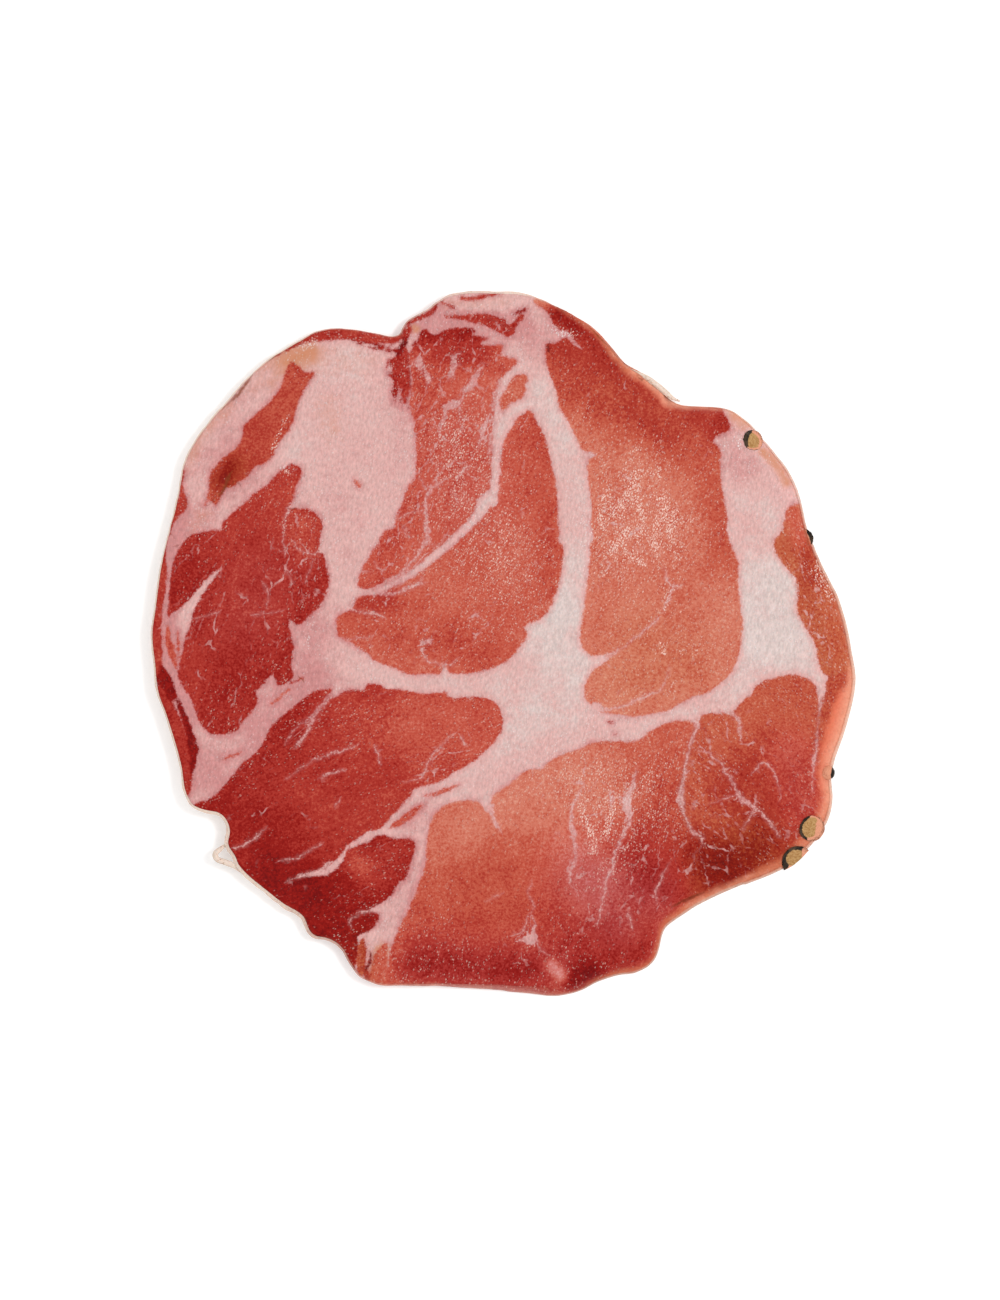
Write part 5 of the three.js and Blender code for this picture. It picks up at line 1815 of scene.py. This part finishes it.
class CoppaPeppercorns(bpy.types.Operator):
    """Sets the five peppercorns in the rim"""

    bl_idname = "coppa.peppercorns"
    bl_label = "Peppercorns"

    def execute(self, context):
        look = context.scene.coppa_peppercorns
        rim = Rim(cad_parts["coppa_slice"])
        material = peppercorn_material(look)
        for number, corn in enumerate(PEPPERCORNS, 1):
            mesh = peppercorn_mesh(rim, *corn, look.wrinkle)
            mesh.materials.append(material)
            place_piece(add_object(f"peppercorn_{number}", mesh))
        return {"FINISHED"}


class CoppaStage(bpy.types.Operator):
    """Lays the floor, the soft light and the camera straight above"""

    bl_idname = "coppa.stage"
    bl_label = "Stage"

    def execute(self, context):
        look = context.scene.coppa_stage
        half = look.floor_size / 2
        mesh = bpy.data.meshes.new("floor")
        corners = [(-half, -half), (half, -half), (half, half), (-half, half)]
        mesh.from_pydata([(x, y, -FLOOR_DROP) for x, y in corners], [], [(0, 1, 2, 3)])
        floor = add_object("floor", mesh)
        material = bpy.data.materials.new("Floor")
        material.use_nodes = True
        shader = material.node_tree.nodes["Principled BSDF"]
        shader.inputs["Base Color"].default_value = colour(look.floor_colour)
        shader.inputs["Roughness"].default_value = 0.9
        shader.inputs["Specular IOR Level"].default_value = 0.1
        shader.inputs["Emission Color"].default_value = colour(look.floor_colour)
        shader.inputs["Emission Strength"].default_value = look.floor_glow
        mesh.materials.append(material)

        world = bpy.data.worlds.new("Studio")
        world.use_nodes = True
        sky = world.node_tree.nodes["Background"]
        sky.inputs["Color"].default_value = (1, 1, 1, 1)
        sky.inputs["Strength"].default_value = look.sky_strength
        context.scene.world = world
        self.add_light("key", look.key_power, 0.26, (0.44, 0.12, 0.8))

        camera = bpy.data.cameras.new("camera")
        camera.sensor_fit = "VERTICAL"
        camera.sensor_height = 24
        camera.lens = 24 * look.camera_height / look.view_height
        camera.clip_start = 0.05
        camera.clip_end = 20
        above = bpy.data.objects.new("camera", camera)
        above.location = (-0.56 * MM, -0.88 * MM, look.camera_height)
        context.scene.collection.objects.link(above)
        context.scene.camera = above
        context.scene.view_settings.view_transform = "Standard"
        return {"FINISHED"}

    @staticmethod
    def add_light(name, power, size, place):
        """A square light that looks at the middle of the slice."""
        light = bpy.data.lights.new(name, "AREA")
        light.energy = power
        light.size = size
        lamp = bpy.data.objects.new(name, light)
        lamp.location = place
        lamp.rotation_mode = "QUATERNION"
        lamp.rotation_quaternion = (-Vector(place)).to_track_quat("-Z", "Y")
        bpy.context.scene.collection.objects.link(lamp)


class CoppaPanel(bpy.types.Panel):
    """The slice's pieces and their settings"""

    bl_idname = "VIEW3D_PT_coppa"
    bl_label = "Coppa slice"
    bl_space_type = "VIEW_3D"
    bl_region_type = "UI"
    bl_category = "Coppa"

    def draw(self, context):
        for operator, settings in PANEL_ROWS:
            box = self.layout.box()
            box.operator(operator.bl_idname, text=operator.bl_label)
            group = getattr(context.scene, settings)
            for name in group.bl_rna.properties.keys():
                if name not in ("rna_type", "name"):
                    box.prop(group, name)


PANEL_ROWS = [
    (CoppaCutFace, "coppa_meat"),
    (CoppaCasing, "coppa_casing"),
    (CoppaPeppercorns, "coppa_peppercorns"),
    (CoppaStage, "coppa_stage"),
]
SETTINGS = {
    "coppa_meat": CoppaMeatSettings,
    "coppa_casing": CoppaCasingSettings,
    "coppa_peppercorns": CoppaPeppercornSettings,
    "coppa_stage": CoppaStageSettings,
}


def register():
    for group in SETTINGS.values():
        bpy.utils.register_class(group)
    for name, group in SETTINGS.items():
        setattr(bpy.types.Scene, name, bpy.props.PointerProperty(type=group))
    for operator, _ in PANEL_ROWS:
        bpy.utils.register_class(operator)
    bpy.utils.register_class(CoppaPanel)


def unregister():
    bpy.utils.unregister_class(CoppaPanel)
    for operator, _ in reversed(PANEL_ROWS):
        bpy.utils.unregister_class(operator)
    for name in SETTINGS:
        delattr(bpy.types.Scene, name)
    for group in reversed(list(SETTINGS.values())):
        bpy.utils.unregister_class(group)


def main():
    register()
    bpy.ops.coppa.cut_face()
    bpy.ops.coppa.casing()
    bpy.ops.coppa.peppercorns()
    bpy.ops.coppa.stage()


if __name__ == "__main__":
    main()
